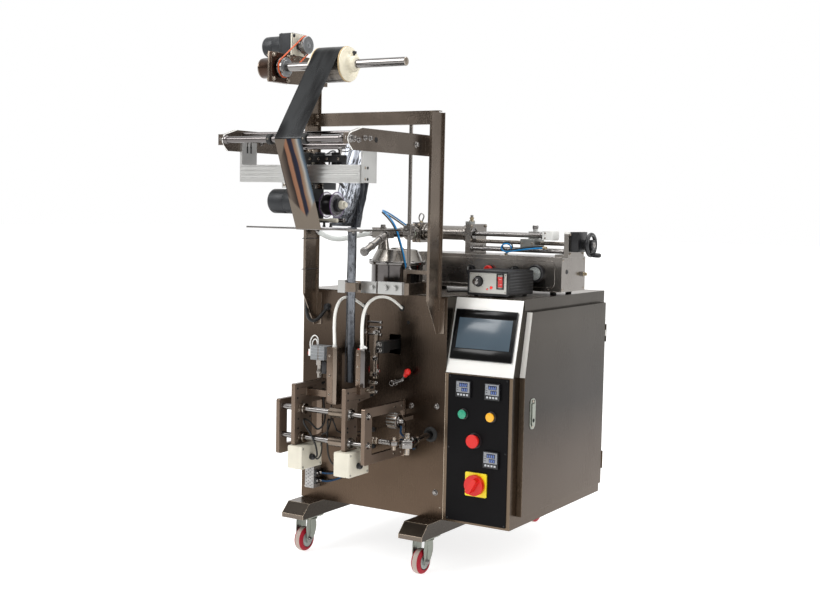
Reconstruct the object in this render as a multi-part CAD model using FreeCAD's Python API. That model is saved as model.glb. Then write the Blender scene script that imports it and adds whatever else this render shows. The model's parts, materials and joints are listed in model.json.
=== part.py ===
import FreeCAD, Part
import math
import os

# A vertical form fill sealer for small sachets, in millimetres.
# Working axes: x to the right from the cabinet's left edge, y to the rear from its
# front panel, z up from the floor. Everything is shifted by ORIGIN when it is saved,
# so the finished part has its origin on the floor under the middle of its outer box.

os.makedirs("parts", exist_ok=True)
V = FreeCAD.Vector

# ---- driving dimensions ----
ORIGIN = V(432, 145.5, 0)
MAIN_W = 550.0            # width of the main cabinet
CABINET_W = 783.0         # main cabinet and control box together
DEPTH = 675.0
BASE_Z = 163.0            # underside of the cabinet
TOP_Z = 864.0             # top of the lid
SHEET = 2.0               # sheet metal
LID_SKIRT = 35.0
SLANT_Z = 630.0           # where the control box starts to lean back
SLANT_Y = 60.0            # how far it has leaned back at the top
SLANT_ANGLE = math.degrees(math.atan2(SLANT_Y, TOP_Z - SLANT_Z))
SLANT_LENGTH = math.hypot(SLANT_Y, TOP_Z - SLANT_Z)
DOOR_DEPTH = 18.0
DOOR_HINGE = (800.0, 654.0)
DOOR_BOTTOM = 200.0
DOOR_TOP = 825.0

WHEEL_R = 40.0
WHEEL_W = 32.0
CASTER_TRAIL = 26.0
BEAM_X = (49.5, 501.5)    # middles of the two foot beams
CASTER_X = (58.0, 509.0)
BEAM_W = 85.0
BEAM_FRONT = -115.0
BEAM_REAR = DEPTH + 100.0
BEAM_BOTTOM = 116.0
FORK_TOP = BEAM_BOTTOM - 9
CASTER_Y = (-34.0, DEPTH + 34.0)

POST_X = (51.0, 519.0)    # left faces of the posts' webs
POST_DEPTH = 77.0
POST_TOP = (1603.0, 1428.0)
ROLL_ARM_Z = 1511.0       # underside of the roll arm, where the left post loses its lips
ARM_X = (51.0, 500.0)     # right faces of the roller arms' webs
ARM_Z = (1293.0, 1357.0)
ARM_FRONT = -481.0
FILM_X = (243.0, 338.0)   # left and right edges of the film
SHAFT_Y = -257.0
SHAFT_Z = 1556.0
SHAFT_R = 13.0
ROLL_R = 52.0
ROLLER_Y = -470.0
ROLLER_Z = 1325.0
ROLLER_R = 9.5
TURN_BAR_Y = -110.0
TURN_BAR_R = 12.0
PLATE_Z = 1071.0          # top of the folding plate
PLATE_FRONT = -375.0
BELT_X = 104.0
BELT_R = 1.75
SHAFT_PULLEY_R = 29.0
MOTOR_PULLEY_R = 27.0
MOTOR_Y = -149.0
MOTOR_Z = 1636.0

TUBE_X = 298.0            # middle of the sachet tube
TUBE_Y = -158.0
TUBE_R = 14.0
ROD_Y = -208.0            # jaw guide rods
ROD_Z = (412.0, 502.0)
ROD_R = 9.0
FRAME_X = (64.0, 388.0)   # left faces of the jaw frame plates
FRAME_FRONT = -226.0

BOX_X = (238.0, 798.0)    # filler housing
BOX_Y = (290.0, 472.0)
BOX_Z = (876.0, 987.0)
PISTON_Y = 324.0
PISTON_Z = 1054.0
PISTON_R = 8.0
SCREW_Y = 336.0
SCREW_Z = 1029.0
SCREW_R = 6.0
RUNNING = 0.05            # radial clearance of a running fit
GAP = 0.5                 # clearance between bodies that must not touch

# ---- control box, door and filler details ----
CONTROLLERS = ((617.5, 584.0), (718.5, 584.0), (718.5, 375.0))
GREEN = (617.0, 506.0)
YELLOW = (714.0, 506.0)
ESTOP = (658.0, 427.0)
SWITCH = (668.0, 292.0)
PLATE_FACE = -3.0
HMI_X = (558.0, 772.0)
HMI_Z = (44.0, 200.0)     # along the slant
HINGE_Z = (280.0, 720.0)
HINGE_LENGTH = 60.0
KNUCKLE_R = 4.0
PIN_R = 2.0
LATCH_Y = 100.0
LATCH_FACE = CABINET_W + GAP + DOOR_DEPTH
LATCH_PIVOT_Z = 548.0
LEVER_PIVOT = (365.0, 580.0)
PUSH_ROD = V(0.163, 0.98, 0.1136)    # direction of the jaws' drive rod
PUSH_HOLE = (499.5, 428.5)
DIALS = ((469.0, 934.0), (540.0, 937.0), (632.0, 937.0))
POWER_KNOB = (616.0, 912.0)
ROCKER = (693.0, 914.0)


# ---- helpers ----
def box(x, y, z):
    return Part.makeBox(x[1] - x[0], y[1] - y[0], z[1] - z[0], V(x[0], y[0], z[0]))


AXES = {"x": V(1, 0, 0), "y": V(0, 1, 0), "z": V(0, 0, 1)}


def place(axis, along, centre):
    a, b = centre
    return {"x": V(along, a, b), "y": V(a, along, b), "z": V(a, b, along)}[axis]


def rod(axis, centre, radius, start, end):
    base = place(axis, start, centre)
    return Part.makeCylinder(radius, end - start, base, AXES[axis])


def ring(axis, centre, radius, bore, start, end):
    return rod(axis, centre, radius, start, end).cut(rod(axis, centre, bore, start - 1, end + 1))


def cone(axis, centre, r_start, r_end, start, end):
    return Part.makeCone(r_start, r_end, end - start, place(axis, start, centre), AXES[axis])


def prism(axis, outline, start, end):
    points = [place(axis, start, p) for p in outline]
    face = Part.Face(Part.makePolygon(points + [points[0]]))
    return face.extrude(AXES[axis] * (end - start))


def fused(*shapes):
    whole = shapes[0]
    for shape in shapes[1:]:
        whole = whole.fuse(shape)
    return whole.removeSplitter()


def cut(shape, *tools):
    for tool in tools:
        shape = shape.cut(tool)
    return shape


def rounded(shape, axis, radius, keep=None):
    """Rounds the straight edges that run along an axis, or those that keep() picks."""
    edges = []
    for edge in shape.Edges:
        if len(edge.Vertexes) != 2:
            continue
        line = edge.Vertexes[1].Point - edge.Vertexes[0].Point
        if line.Length < 1e-6 or abs(line.normalize().dot(AXES[axis])) < 0.999:
            continue
        if keep is None or keep(edge.CenterOfMass):
            edges.append(edge)
    return shape.makeFillet(radius, edges)


def leaned(shape):
    """Turns a shape built upright at the front plane onto the slanted front."""
    turned = shape.copy()
    turned.rotate(V(0, 0, SLANT_Z), V(1, 0, 0), -SLANT_ANGLE)
    return turned


def hexagon(axis, centre, across, start, end):
    half = across / math.sqrt(3)
    turns = [math.radians(60 * k + 30) for k in range(6)]
    outline = [(centre[0] + half * math.cos(t), centre[1] + half * math.sin(t)) for t in turns]
    return prism(axis, outline, start, end)


def cord(name, points, diameter):
    """A tube along straight runs joined by tangent arcs as large as the runs allow."""
    points = [V(*p) for p in points]
    edges = []
    start = points[0]
    radii = []
    for before, here, after in zip(points, points[1:], points[2:]):
        back = (before - here).normalize()
        ahead = (after - here).normalize()
        turn = math.pi - back.getAngle(ahead)
        reach = 0.45 * min((before - here).Length, (after - here).Length)
        radius = reach / math.tan(turn / 2)
        bisector = (back + ahead).normalize()
        middle = here + bisector * (radius / math.cos(turn / 2) - radius)
        edges.append(Part.LineSegment(start, here + back * reach).toShape())
        edges.append(Part.Arc(here + back * reach, middle, here + ahead * reach).toShape())
        start = here + ahead * reach
        radii.append(round(radius))
    edges.append(Part.LineSegment(start, points[-1]).toShape())
    path = Part.Wire(edges)
    section = Part.Wire(Part.Circle(points[0], points[1] - points[0], diameter / 2).toShape())
    tube = path.makePipeShell([section], True, False)
    expected = math.pi * diameter ** 2 / 4 * path.Length
    print(name, "length", round(path.Length), "radii", radii, "volume", round(tube.Volume / expected, 3))
    return tube


def save(name, *shapes):
    solids = [solid for shape in shapes for solid in shape.Solids]
    node = solids[0] if len(solids) == 1 else Part.makeCompound(solids)
    node = node.copy()
    node.translate(-ORIGIN)
    node.exportStep("parts/" + name + ".step")


# ---- base and casters ----
def foot_beam(x, caster_x):
    """A folded channel, open below, with bevelled ends and two caster plates under it."""
    low, high = x - BEAM_W / 2, x + BEAM_W / 2
    bevel_y, bevel_z = 34.0, 33.0
    wall = 3.0
    outline = [
        (BEAM_FRONT, BEAM_BOTTOM),
        (BEAM_REAR, BEAM_BOTTOM),
        (BEAM_REAR, BASE_Z - bevel_z),
        (BEAM_REAR - bevel_y, BASE_Z),
        (BEAM_FRONT + bevel_y, BASE_Z),
        (BEAM_FRONT, BASE_Z - bevel_z),
    ]
    hollow = [
        (BEAM_FRONT + wall, BEAM_BOTTOM - 1),
        (BEAM_REAR - wall, BEAM_BOTTOM - 1),
        (BEAM_REAR - wall, BASE_Z - bevel_z - 1),
        (BEAM_REAR - bevel_y - 1, BASE_Z - wall),
        (BEAM_FRONT + bevel_y + 1, BASE_Z - wall),
        (BEAM_FRONT + wall, BASE_Z - bevel_z - 1),
    ]
    shell = prism("x", outline, low, high).cut(prism("x", hollow, low + wall, high - wall))
    return [shell] + [caster_plate(caster_x, y) for y in CASTER_Y]


def caster_plate(x, y):
    low = BEAM_BOTTOM - 4
    plate = box((x - 33, x + 33), (y - 40, y + 40), (low, BEAM_BOTTOM))
    kingpin = rod("z", (x, y), 5, low - 12, low)
    head = rod("z", (x, y), 9, low - 15, low - 11.4)
    race = ring("z", (x, y), 24, 10, low - 4, low)
    return rounded(fused(plate, kingpin, head, race), "z", 6, lambda p: abs(p.x - x) > 30)


def caster_fork(x, y, sign, bore):
    """Two rounded cheeks from a round crown down to the axle; sign points to the wheel."""
    axle_y = y + sign * CASTER_TRAIL
    inner, outer = WHEEL_W / 2 + 3.5, WHEEL_W / 2 + 6
    profile = [(-12, FORK_TOP), (31, FORK_TOP), (36, 90), (36, 75), (31, 60), (23, 46), (14, 35), (5, 29),
               (-4, 28), (-10, 32), (-12.5, 42), (-15.5, 58), (-16, 80)]
    legs = []
    for side in (-1, 1):
        a, b = sorted((x + side * inner, x + side * outer))
        legs.append(prism("x", [(axle_y - sign * along, z) for along, z in profile], a, b))
    crown = rod("z", (x, y), 26, FORK_TOP - 4, FORK_TOP).cut(rod("z", (x, y), bore, FORK_TOP - 5, FORK_TOP + 1))
    axle = rod("x", (axle_y, WHEEL_R), 4, x - outer - 4.5, x + outer + 4.5)
    nuts = [hexagon("x", (axle_y, WHEEL_R), 13, x + s, x + s + 4.5) for s in (outer, -outer - 4.5)]
    return fused(legs[0], legs[1], crown, axle, *nuts)


def caster_wheel(x, y, sign):
    axis = (y + sign * CASTER_TRAIL, WHEEL_R)
    half = WHEEL_W / 2
    tyre = ring("x", axis, WHEEL_R, 29, x - half, x + half)
    tyre = tyre.makeFillet(8, [e for e in tyre.Edges if e.Length > 6 * WHEEL_R and len(e.Vertexes) == 1
                               and abs(e.BoundBox.ZLength - 2 * WHEEL_R) < 0.1])
    hub = ring("x", axis, 28.9, 4 + RUNNING, x - half + 3, x + half - 3)
    boss = ring("x", axis, 10, 4 + RUNNING, x - half - 2.5, x + half + 2.5)
    return [tyre, fused(hub, boss)]


# ---- cabinet ----
def front_panel():
    panel = box((0, MAIN_W), (0, SHEET), (BASE_Z, TOP_Z - 3))
    window = box((339, 383), (-1, 5), (671, 734))
    bored = ((PUSH_HOLE, 14), ((409, 775), 3), ((384, 819), 7), ((240, 816), 7), ((96, 806), 8.5))
    holes = [rod("y", centre, radius, -1, 5) for centre, radius in bored]
    frame = cut(box((335, 387), (SHEET, 4), (667, 738)), window)
    boot = ring("y", PUSH_HOLE, 22, 11.5, -4, 0)
    heads = [rod("y", centre, 6.5, -4, 0) for centre in ((427, 512), (519, 519), (520, 246))]
    panel = fused(cut(panel, window, *holes), frame)
    return [panel, boot] + heads


def body_panels():
    """Left wall, rear wall, partition, base and the mains inlet gland."""
    wall_top = TOP_Z - LID_SKIRT - GAP
    left = box((0, SHEET), (SHEET, DEPTH - SHEET), (BASE_Z, wall_top))
    rear = box((0, CABINET_W), (DEPTH - SHEET, DEPTH), (BASE_Z, wall_top))
    gland_hole = rod("y", (700, 230), 11, DEPTH - 5, DEPTH + 5)
    rear = cut(rear, gland_hole)
    floor_z = BASE_Z + 3
    partition = box((MAIN_W - SHEET, MAIN_W), (SHEET, DEPTH - SHEET), (floor_z, TOP_Z - 3))
    right_end = CABINET_W - SHEET
    base = box((SHEET, right_end), (SHEET, DEPTH - SHEET), (BASE_Z, floor_z))
    gland = ring("y", (700, 230), 15, 6, DEPTH, DEPTH + 14)
    neck = ring("y", (700, 230), 11, 6, DEPTH - 10, DEPTH)
    return [left, rear, partition, base, fused(gland, neck)]


def top_lid():
    top = prism("z", [(0, 0), (MAIN_W, 0), (MAIN_W, SLANT_Y), (CABINET_W, SLANT_Y),
                      (CABINET_W, DEPTH), (0, DEPTH)], TOP_Z - 3, TOP_Z)
    skirt = (TOP_Z - LID_SKIRT, TOP_Z - 3)
    left = box((0, SHEET), (SHEET, DEPTH), skirt)
    rear = box((0, CABINET_W), (DEPTH - SHEET, DEPTH), skirt)
    right = box((CABINET_W - SHEET, CABINET_W), (SLANT_Y + 5, DEPTH), skirt)
    return [fused(top, left, rear, right)]


def control_frame():
    front = box((MAIN_W, CABINET_W), (0, SHEET), (BASE_Z, SLANT_Z - 2))
    front = cut(front, box((575, 757), (-1, 5), (185, 610)))
    wall_top = TOP_Z - LID_SKIRT - GAP
    lean = (wall_top - SLANT_Z) * SLANT_Y / (TOP_Z - SLANT_Z)
    outline = [(SHEET, BASE_Z), (DEPTH - SHEET, BASE_Z), (DEPTH - SHEET, wall_top),
               (lean + 4, wall_top), (SHEET + 1, SLANT_Z - 2), (SHEET, SLANT_Z - 4)]
    opening = [(72, 230), (625, 230), (625, 800), (112, 800), (72, 625)]
    side = prism("x", outline, CABINET_W - SHEET, CABINET_W)
    side = cut(side, prism("x", opening, CABINET_W - 5, CABINET_W + 5))
    return [front, side] + [hinge_leaf(z) for z in HINGE_Z]


def hinge_leaf(z):
    """The cabinet's half of a door hinge: leaf, arm, two knuckles and the pin."""
    x, y = DOOR_HINGE
    half = HINGE_LENGTH / 2
    leaf = box((CABINET_W, CABINET_W + 2.5), (y + 3, y + 18), (z - half, z + half))
    arm = box((CABINET_W, x), (y + 2, y + 4), (z - half, z + half))
    knuckle = rod("z", DOOR_HINGE, KNUCKLE_R, z - half, z + half)
    gap = rod("z", DOOR_HINGE, KNUCKLE_R + 3, z - half / 3 - 0.3, z + half / 3 + 0.3)
    pin = rod("z", DOOR_HINGE, PIN_R, z - half, z + half)
    return fused(cut(fused(leaf, arm, knuckle), gap), pin)


def control_plate():
    plate = box((561, 771), (-3, 0), (170, 626))
    holes = [box((c[0] - 22.7, c[0] + 22.7), (-5, 1), (c[1] - 22.7, c[1] + 22.7)) for c in CONTROLLERS]
    holes += [rod("y", centre, 11.2, -5, 1) for centre in (GREEN, YELLOW, ESTOP, SWITCH)]
    return [rounded(cut(plate, *holes), "y", 2, lambda p: not 570 < p.x < 765)]


def panel_fittings():
    """Temperature controllers, push-button collars and the main switch's plate."""
    solids = []
    for x, z in CONTROLLERS:
        bezel = box((x - 24, x + 24), (PLATE_FACE - 8, PLATE_FACE), (z - 24, z + 24))
        body = box((x - 22, x + 22), (PLATE_FACE, 62), (z - 22, z + 22))
        solids.append(fused(rounded(bezel, "y", 2.5), body))
    for centre, radius, rise in ((GREEN, 15.0, 4.0), (YELLOW, 15.0, 4.0), (ESTOP, 16.0, 0.6)):
        collar = ring("y", centre, radius, 12.5, PLATE_FACE - rise, PLATE_FACE)
        barrel = ring("y", centre, 11, 9, PLATE_FACE, 40)
        shoulder = ring("y", centre, 12.5, 9, PLATE_FACE - 0.6, PLATE_FACE)
        solids.append(fused(collar, barrel, shoulder))
    x, z = SWITCH
    plate = box((x - 37, x + 37), (PLATE_FACE - 5, PLATE_FACE), (z - 37, z + 37))
    plate = rounded(plate, "y", 4)
    body = box((x - 24, x + 24), (SHEET + 1, 55), (z - 24, z + 24))
    neck = ring("y", SWITCH, 10.8, 7, PLATE_FACE, SHEET + 1)
    solids.append(fused(cut(plate, rod("y", SWITCH, 7, -20, 5)), neck, body))
    return solids


def push_button(centre, radius, rise):
    cap = rod("y", centre, radius, PLATE_FACE - 5 - rise, PLATE_FACE - 5)
    cap = cap.makeFillet(1.2, [e for e in cap.Edges if abs(e.CenterOfMass.y - PLATE_FACE + 5 + rise) < 0.1])
    stem = rod("y", centre, 8.5, PLATE_FACE - 5, 20)
    return [fused(cap, stem)]


def estop_button():
    head = cone("y", ESTOP, 21, 14, PLATE_FACE - 14, PLATE_FACE - 5)
    crown = rod("y", ESTOP, 21, PLATE_FACE - 19, PLATE_FACE - 14)
    crown = crown.makeFillet(2, [e for e in crown.Edges if e.CenterOfMass.y < PLATE_FACE - 18.5])
    neck = rod("y", ESTOP, 8.5, PLATE_FACE - 5, 20)
    return [fused(crown, head, neck)]


def switch_knob():
    face = PLATE_FACE - 5 - GAP
    dish = rod("y", SWITCH, 32, face - 17, face)
    dish = dish.makeFillet(2, [e for e in dish.Edges if e.CenterOfMass.y < face - 16.5])
    x, z = SWITCH
    grip = box((x - 26, x + 26), (face - 34, face - 17), (z - 8, z + 8))
    grip = rounded(grip, "y", 6)
    grip.rotate(V(x, 0, z), V(0, 1, 0), -60)
    stem = rod("y", SWITCH, 6.5, face, 1)
    return [fused(dish, grip, stem)]


def hmi_bezel():
    sheet = box((MAIN_W, CABINET_W), (0, SHEET), (SLANT_Z, SLANT_Z + SLANT_LENGTH - 1))
    hole = box((HMI_X[0] + 10, HMI_X[1] - 10), (-5, 5), (SLANT_Z + HMI_Z[0] + 9, SLANT_Z + HMI_Z[1] - 9))
    below_lid = box((MAIN_W - 5, CABINET_W + 5), (-5, 100), (SLANT_Z - 5, TOP_Z - 3.5))
    return [leaned(cut(sheet, hole)).common(below_lid)]


def hmi_screen():
    face = rounded(box(HMI_X, (-5, 0), (SLANT_Z + HMI_Z[0], SLANT_Z + HMI_Z[1])), "y", 5)
    body = box((HMI_X[0] + 11, HMI_X[1] - 11), (0, 32), (SLANT_Z + HMI_Z[0] + 10, SLANT_Z + HMI_Z[1] - 10))
    return [leaned(fused(face, body))]


def side_door():
    """A folded pan with a leaning front edge and its halves of the two hinges."""
    lean = (DOOR_TOP - SLANT_Z) * SLANT_Y / (TOP_Z - SLANT_Z)
    front, rear = 43.0, 648.0
    wall = 2.0
    outline = [(front, DOOR_BOTTOM), (rear, DOOR_BOTTOM), (rear, DOOR_TOP),
               (front + lean * 0.8, DOOR_TOP), (front, SLANT_Z - 2)]
    hollow = [(front + wall, DOOR_BOTTOM + wall), (rear - wall, DOOR_BOTTOM + wall),
              (rear - wall, DOOR_TOP - wall), (front + lean * 0.8 + wall + 1, DOOR_TOP - wall),
              (front + wall, SLANT_Z - 2)]
    low = CABINET_W + GAP
    pan = prism("x", outline, low, low + DOOR_DEPTH)
    pan = cut(pan, prism("x", hollow, low - 1, low + DOOR_DEPTH - wall))
    pan = cut(pan, box((low - 1, low + 40), (LATCH_Y - 12, LATCH_Y + 12), (470, 556)))
    x, y = DOOR_HINGE
    for z in HINGE_Z:
        half = HINGE_LENGTH / 6
        knuckle = rod("z", DOOR_HINGE, KNUCKLE_R, z - half, z + half)
        tab = box((x - 1.5, x + 1.5), (rear - 4, y), (z - half, z + half))
        bore = rod("z", DOOR_HINGE, PIN_R + RUNNING, z - half - 1, z + half + 1)
        pan = fused(pan, cut(fused(knuckle, tab), bore))
    return [pan, latch_housing()]


def latch_housing():
    rim = box((LATCH_FACE, LATCH_FACE + 2), (LATCH_Y - 18, LATCH_Y + 18), (465, 560))
    rim = rounded(rim, "x", 16)
    tray = box((LATCH_FACE - 12, LATCH_FACE), (LATCH_Y - 11.8, LATCH_Y + 11.8), (470.2, 555.8))
    pocket = box((LATCH_FACE - 8, LATCH_FACE + 5), (LATCH_Y - 10, LATCH_Y + 10), (473, 555))
    pin = rod("y", (LATCH_FACE - 3, LATCH_PIVOT_Z), 1.5, LATCH_Y - 11, LATCH_Y + 11)
    return fused(cut(fused(rim, tray), pocket), pin)


def door_latch():
    lever = box((LATCH_FACE - 5, LATCH_FACE + 5), (LATCH_Y - 9, LATCH_Y + 9), (475, 544))
    lever = rounded(lever, "x", 8, lambda p: p.z < 500)
    eye = box((LATCH_FACE - 6, LATCH_FACE), (LATCH_Y - 9, LATCH_Y + 9), (540, LATCH_PIVOT_Z + 2.5))
    bore = rod("y", (LATCH_FACE - 3, LATCH_PIVOT_Z), 1.5 + RUNNING, LATCH_Y - 12, LATCH_Y + 12)
    return [cut(fused(lever, eye), bore)]


def inner_drive():
    """Gear motor, crank disc, back plate and its relays, sealed inside the cabinet."""
    motor = rod("y", (300, 300), 60, 330, 520)
    gearbox = box((220, 380), (200, 330), (215, 385))
    shaft = rod("y", (300, 300), 14, 60, 200)
    crank = rod("y", (300, 300), 70, 90, 110)
    stand = box((210, 390), (190, 340), (BASE_Z + 3, 215))
    plate = box((MAIN_W + 4, MAIN_W + 7), (120, 640), (260, 780))
    rows = [box((MAIN_W + 7, MAIN_W + 80), (150, 600), (z, z + 75)) for z in (300, 450, 600)]
    return [fused(motor, gearbox, shaft, crank, stand), fused(plate, *rows)]


# ---- upper frame ----
def upper_frame():
    """Two folded posts with gusseted feet, and the cross beam between them."""
    solids = []
    foot_top = {0: 853.0, 1: 856.0}
    for side, x in enumerate(POST_X):
        top = POST_TOP[side]
        outline = [(0, 748), (0, top), (-POST_DEPTH, top), (-POST_DEPTH, 852), (-17, 748)]
        web = prism("x", outline, x, x + 3)
        lip = 9.0
        front = box((x, x + lip), (-POST_DEPTH, -POST_DEPTH + 3), (852, top))
        rear = box((x, x + lip), (-3, 0), (852, top))
        foot = box((x, x + 22), (-3, 0), (748, foot_top[side]))
        post = fused(web, front, rear, foot)
        if side == 0:
            post = cut(post, box((x + 3, x + 12), (-POST_DEPTH - 1, 1), (ROLL_ARM_Z - 1, top + 1)))
        solids.append(post)
    low, high = POST_X[0] + 3, POST_X[1]
    face = box((low, high), (-25, -22), (1392, 1434))
    flanges = [box((low, high), (-25, -4), z) for z in ((1392, 1395), (1431, 1434))]
    solids.append(fused(face, *flanges))
    return solids


def roller_arms():
    """Two folded arms, a tie rod, the rear turning bar and the right arm's spacer."""
    solids = []
    low, high = ARM_Z
    middle = (low + high) / 2
    for x in ARM_X:
        outline = [(0, low), (0, high), (-414, high), (-472, middle + 14),
                   (ARM_FRONT, middle), (-472, middle - 18), (-459, low)]
        web = prism("x", outline, x - 3, x)
        top = box((x - 16, x), (-414, 0), (high - 3, high))
        nose = prism("x", [(-414, high), (-472, middle + 14), (-470, middle + 11), (-414, high - 4)], x - 16, x)
        tip = box((x - 16, x), (ARM_FRONT, ARM_FRONT + 3), (middle - 16, middle + 16))
        arm = fused(web, top, nose, tip)
        arm = cut(arm, rod("x", (ROLLER_Y, ROLLER_Z), 4 + RUNNING, x - 20, x + 5))
        solids.append(arm)
    inner = (ARM_X[0], ARM_X[1] - 3)
    solids.append(rod("x", (-390, 1346), 5.5, *inner))
    solids.append(rod("x", (TURN_BAR_Y, ROLLER_Z), TURN_BAR_R, *inner))
    solids.append(box((ARM_X[1], POST_X[1]), (-70, -10), (1300, 1350)))
    heads = [((-452, 1325), 7), ((-398, 1330), 5), ((-372, 1330), 5), ((-120, 1325), 6), ((-430, 1322), 5)]
    for centre, radius in heads:
        solids.append(rod("x", centre, radius, ARM_X[1], ARM_X[1] + 6))
    return solids


def alu_frame():
    """Two side plates and a grooved front bar that carry the date coder."""
    left = box((51, 59), (-400, -330), (1204, 1322))
    slots = [box((50, 60), (y - 3, y + 3), (1290, 1330)) for y in (-375, -358)]
    right = box((489, 497), (-400, -330), (1204, 1322))
    bar = box((59, 489), (-404, -384), (1204, 1253))
    grooves = [box((57, 490), (-405, -402.5), (z, z + 1.6)) for z in (1215, 1228, 1241)]
    tab = box((215, 232), (-404, -400), (1188, 1204))
    return [cut(left, *slots), right, fused(cut(bar, *grooves), tab)]


def front_roller():
    tube = rod("x", (ROLLER_Y, ROLLER_Z), ROLLER_R, 52, 481)
    spindle = rod("x", (ROLLER_Y, ROLLER_Z), 4, 44, 503)
    collars = [rod("x", (ROLLER_Y, ROLLER_Z), 14, x, x + 13) for x in (215, 341)]
    return [fused(tube, spindle), *[cut(c, rod("x", (ROLLER_Y, ROLLER_Z), ROLLER_R, 0, 600)) for c in collars]]


def roll_arm():
    """The arm plate, the square bearing flange and the bearing housing of the roll shaft."""
    x = POST_X[0] + 27
    spacer = box((POST_X[0] + 3, x), (-70, -8), (1524, 1600))
    outline = [(0, 1520), (0, 1603), (-150, 1603), (-212, 1601), (-302, 1601), (-302, ROLL_ARM_Z),
               (-212, ROLL_ARM_Z)]
    plate = prism("x", outline, x, x + 4)
    flange = rounded(box((x + 4, x + 12), (SHAFT_Y - 45, SHAFT_Y + 45), (1511, 1601)), "x", 8)
    housing = rod("x", (SHAFT_Y, SHAFT_Z), 31, 24, x)
    bore = rod("x", (SHAFT_Y, SHAFT_Z), SHAFT_R + RUNNING, 30, x + 20)
    bolts = [rod("x", (SHAFT_Y + dy, SHAFT_Z + dz), 5, x + 12, x + 17) for dy in (-36, 36) for dz in (-36, 36)]
    return [cut(fused(spacer, plate, flange, housing, *bolts), bore)]


def grooved_pulley(axis, centre, radius, start, end, at):
    disc = rod(axis, centre, radius, start, end)
    centre_point = place(axis, at, centre)
    groove = Part.makeTorus(radius, BELT_R + 0.35, centre_point, AXES[axis])
    return cut(disc, groove)


def unwind_shaft():
    """The roll shaft with its pulley, and the two cones that clamp the roll."""
    axis = (SHAFT_Y, SHAFT_Z)
    shaft = rod("x", axis, SHAFT_R, 31, 545)
    shaft = shaft.makeChamfer(1.5, [e for e in shaft.Edges if e.CenterOfMass.x > 544])
    groove = ring("x", axis, SHAFT_R + 1, SHAFT_R - 0.8, 374, 376.5)
    shaft = cut(shaft, groove)
    collar = rod("x", axis, 19, 91, 94)
    pulley = grooved_pulley("x", axis, SHAFT_PULLEY_R, 94, 113, BELT_X)
    solids = [fused(shaft, collar, pulley)]
    bore = rod("x", axis, SHAFT_R, 0, 600)
    for disc, hub in (((235, 242.5), (208, 236)), ((338.5, 346), (345, 372))):
        rim = rod("x", axis, 51, *disc)
        boss = rod("x", axis, 22, *hub)
        middle = (hub[0] + hub[1]) / 2
        screw = rod("z", (middle, SHAFT_Y), 4.5, SHAFT_Z + 15, SHAFT_Z + 33)
        solids.append(cut(fused(rim, boss, screw), bore))
    return solids


def film_roll():
    axis = (SHAFT_Y, SHAFT_Z)
    return [ring("x", axis, ROLL_R, SHAFT_R + GAP, FILM_X[0], FILM_X[1])]


def drive_motor():
    """Small gear motor on an ivory adaptor plate above the roll arm."""
    centre = (MOTOR_Y, MOTOR_Z)
    can = rod("x", centre, 32, -48, 26)
    can = can.makeFillet(6, [e for e in can.Edges if e.CenterOfMass.x < -47])
    gearhead = rounded(box((26, 71), (MOTOR_Y - 36, MOTOR_Y + 36), (MOTOR_Z - 32, MOTOR_Z + 36)), "x", 5)
    adaptor = box((71, 78), (MOTOR_Y - 36, MOTOR_Y + 36), (MOTOR_Z - 60, MOTOR_Z + 36))
    adaptor = cut(adaptor, rod("x", centre, 7, 64, 84))
    gearhead = cut(gearhead, rod("x", centre, 7, 64, 84))
    corners = ((28, -22), (-28, 28), (28, 28))
    screws = [rod("x", (MOTOR_Y + a, MOTOR_Z + b), 3.5, 78, 81) for a, b in corners]
    return [fused(can, gearhead), adaptor, *screws]


def motor_pulley():
    centre = (MOTOR_Y, MOTOR_Z)
    disc = grooved_pulley("x", centre, MOTOR_PULLEY_R, 97, 113, BELT_X)
    hub = rod("x", centre, 12, 84, 97)
    shaft = rod("x", centre, 6, 68, 84)
    recess = rod("x", centre, 2.5, 108, 120)
    return [cut(fused(disc, hub, shaft), recess)]


def drive_belt():
    """A round belt: two straight runs tangent to both pulleys, and an arc round each."""
    c1, c2 = (SHAFT_Y, SHAFT_Z), (MOTOR_Y, MOTOR_Z)
    r1, r2 = SHAFT_PULLEY_R, MOTOR_PULLEY_R
    span = math.hypot(c2[0] - c1[0], c2[1] - c1[1])
    heading = math.atan2(c2[1] - c1[1], c2[0] - c1[0])
    spread = math.acos((r1 - r2) / span)

    def on(centre, radius, angle):
        return V(BELT_X, centre[0] + radius * math.cos(angle), centre[1] + radius * math.sin(angle))

    a1, b1 = on(c1, r1, heading + spread), on(c1, r1, heading - spread)
    a2, b2 = on(c2, r2, heading + spread), on(c2, r2, heading - spread)
    path = Part.Wire([
        Part.LineSegment(a1, a2).toShape(),
        Part.Arc(a2, on(c2, r2, heading), b2).toShape(),
        Part.LineSegment(b2, b1).toShape(),
        Part.Arc(b1, on(c1, r1, heading + math.pi), a1).toShape(),
    ])
    section = Part.Wire(Part.Circle(a1, a2 - a1, BELT_R).toShape())
    return [path.makePipeShell([section], True, False)]


# ---- film ----
def film_run(start, end, thickness=1.0):
    """A flat run of film across FILM_X between two (y, z) points, on the left of the way down."""
    dy, dz = end[0] - start[0], end[1] - start[1]
    length = math.hypot(dy, dz)
    ny, nz = dz / length * thickness, -dy / length * thickness
    outline = [start, end, (end[0] + ny, end[1] + nz), (start[0] + ny, start[1] + nz)]
    return prism("x", outline, *FILM_X)


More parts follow.
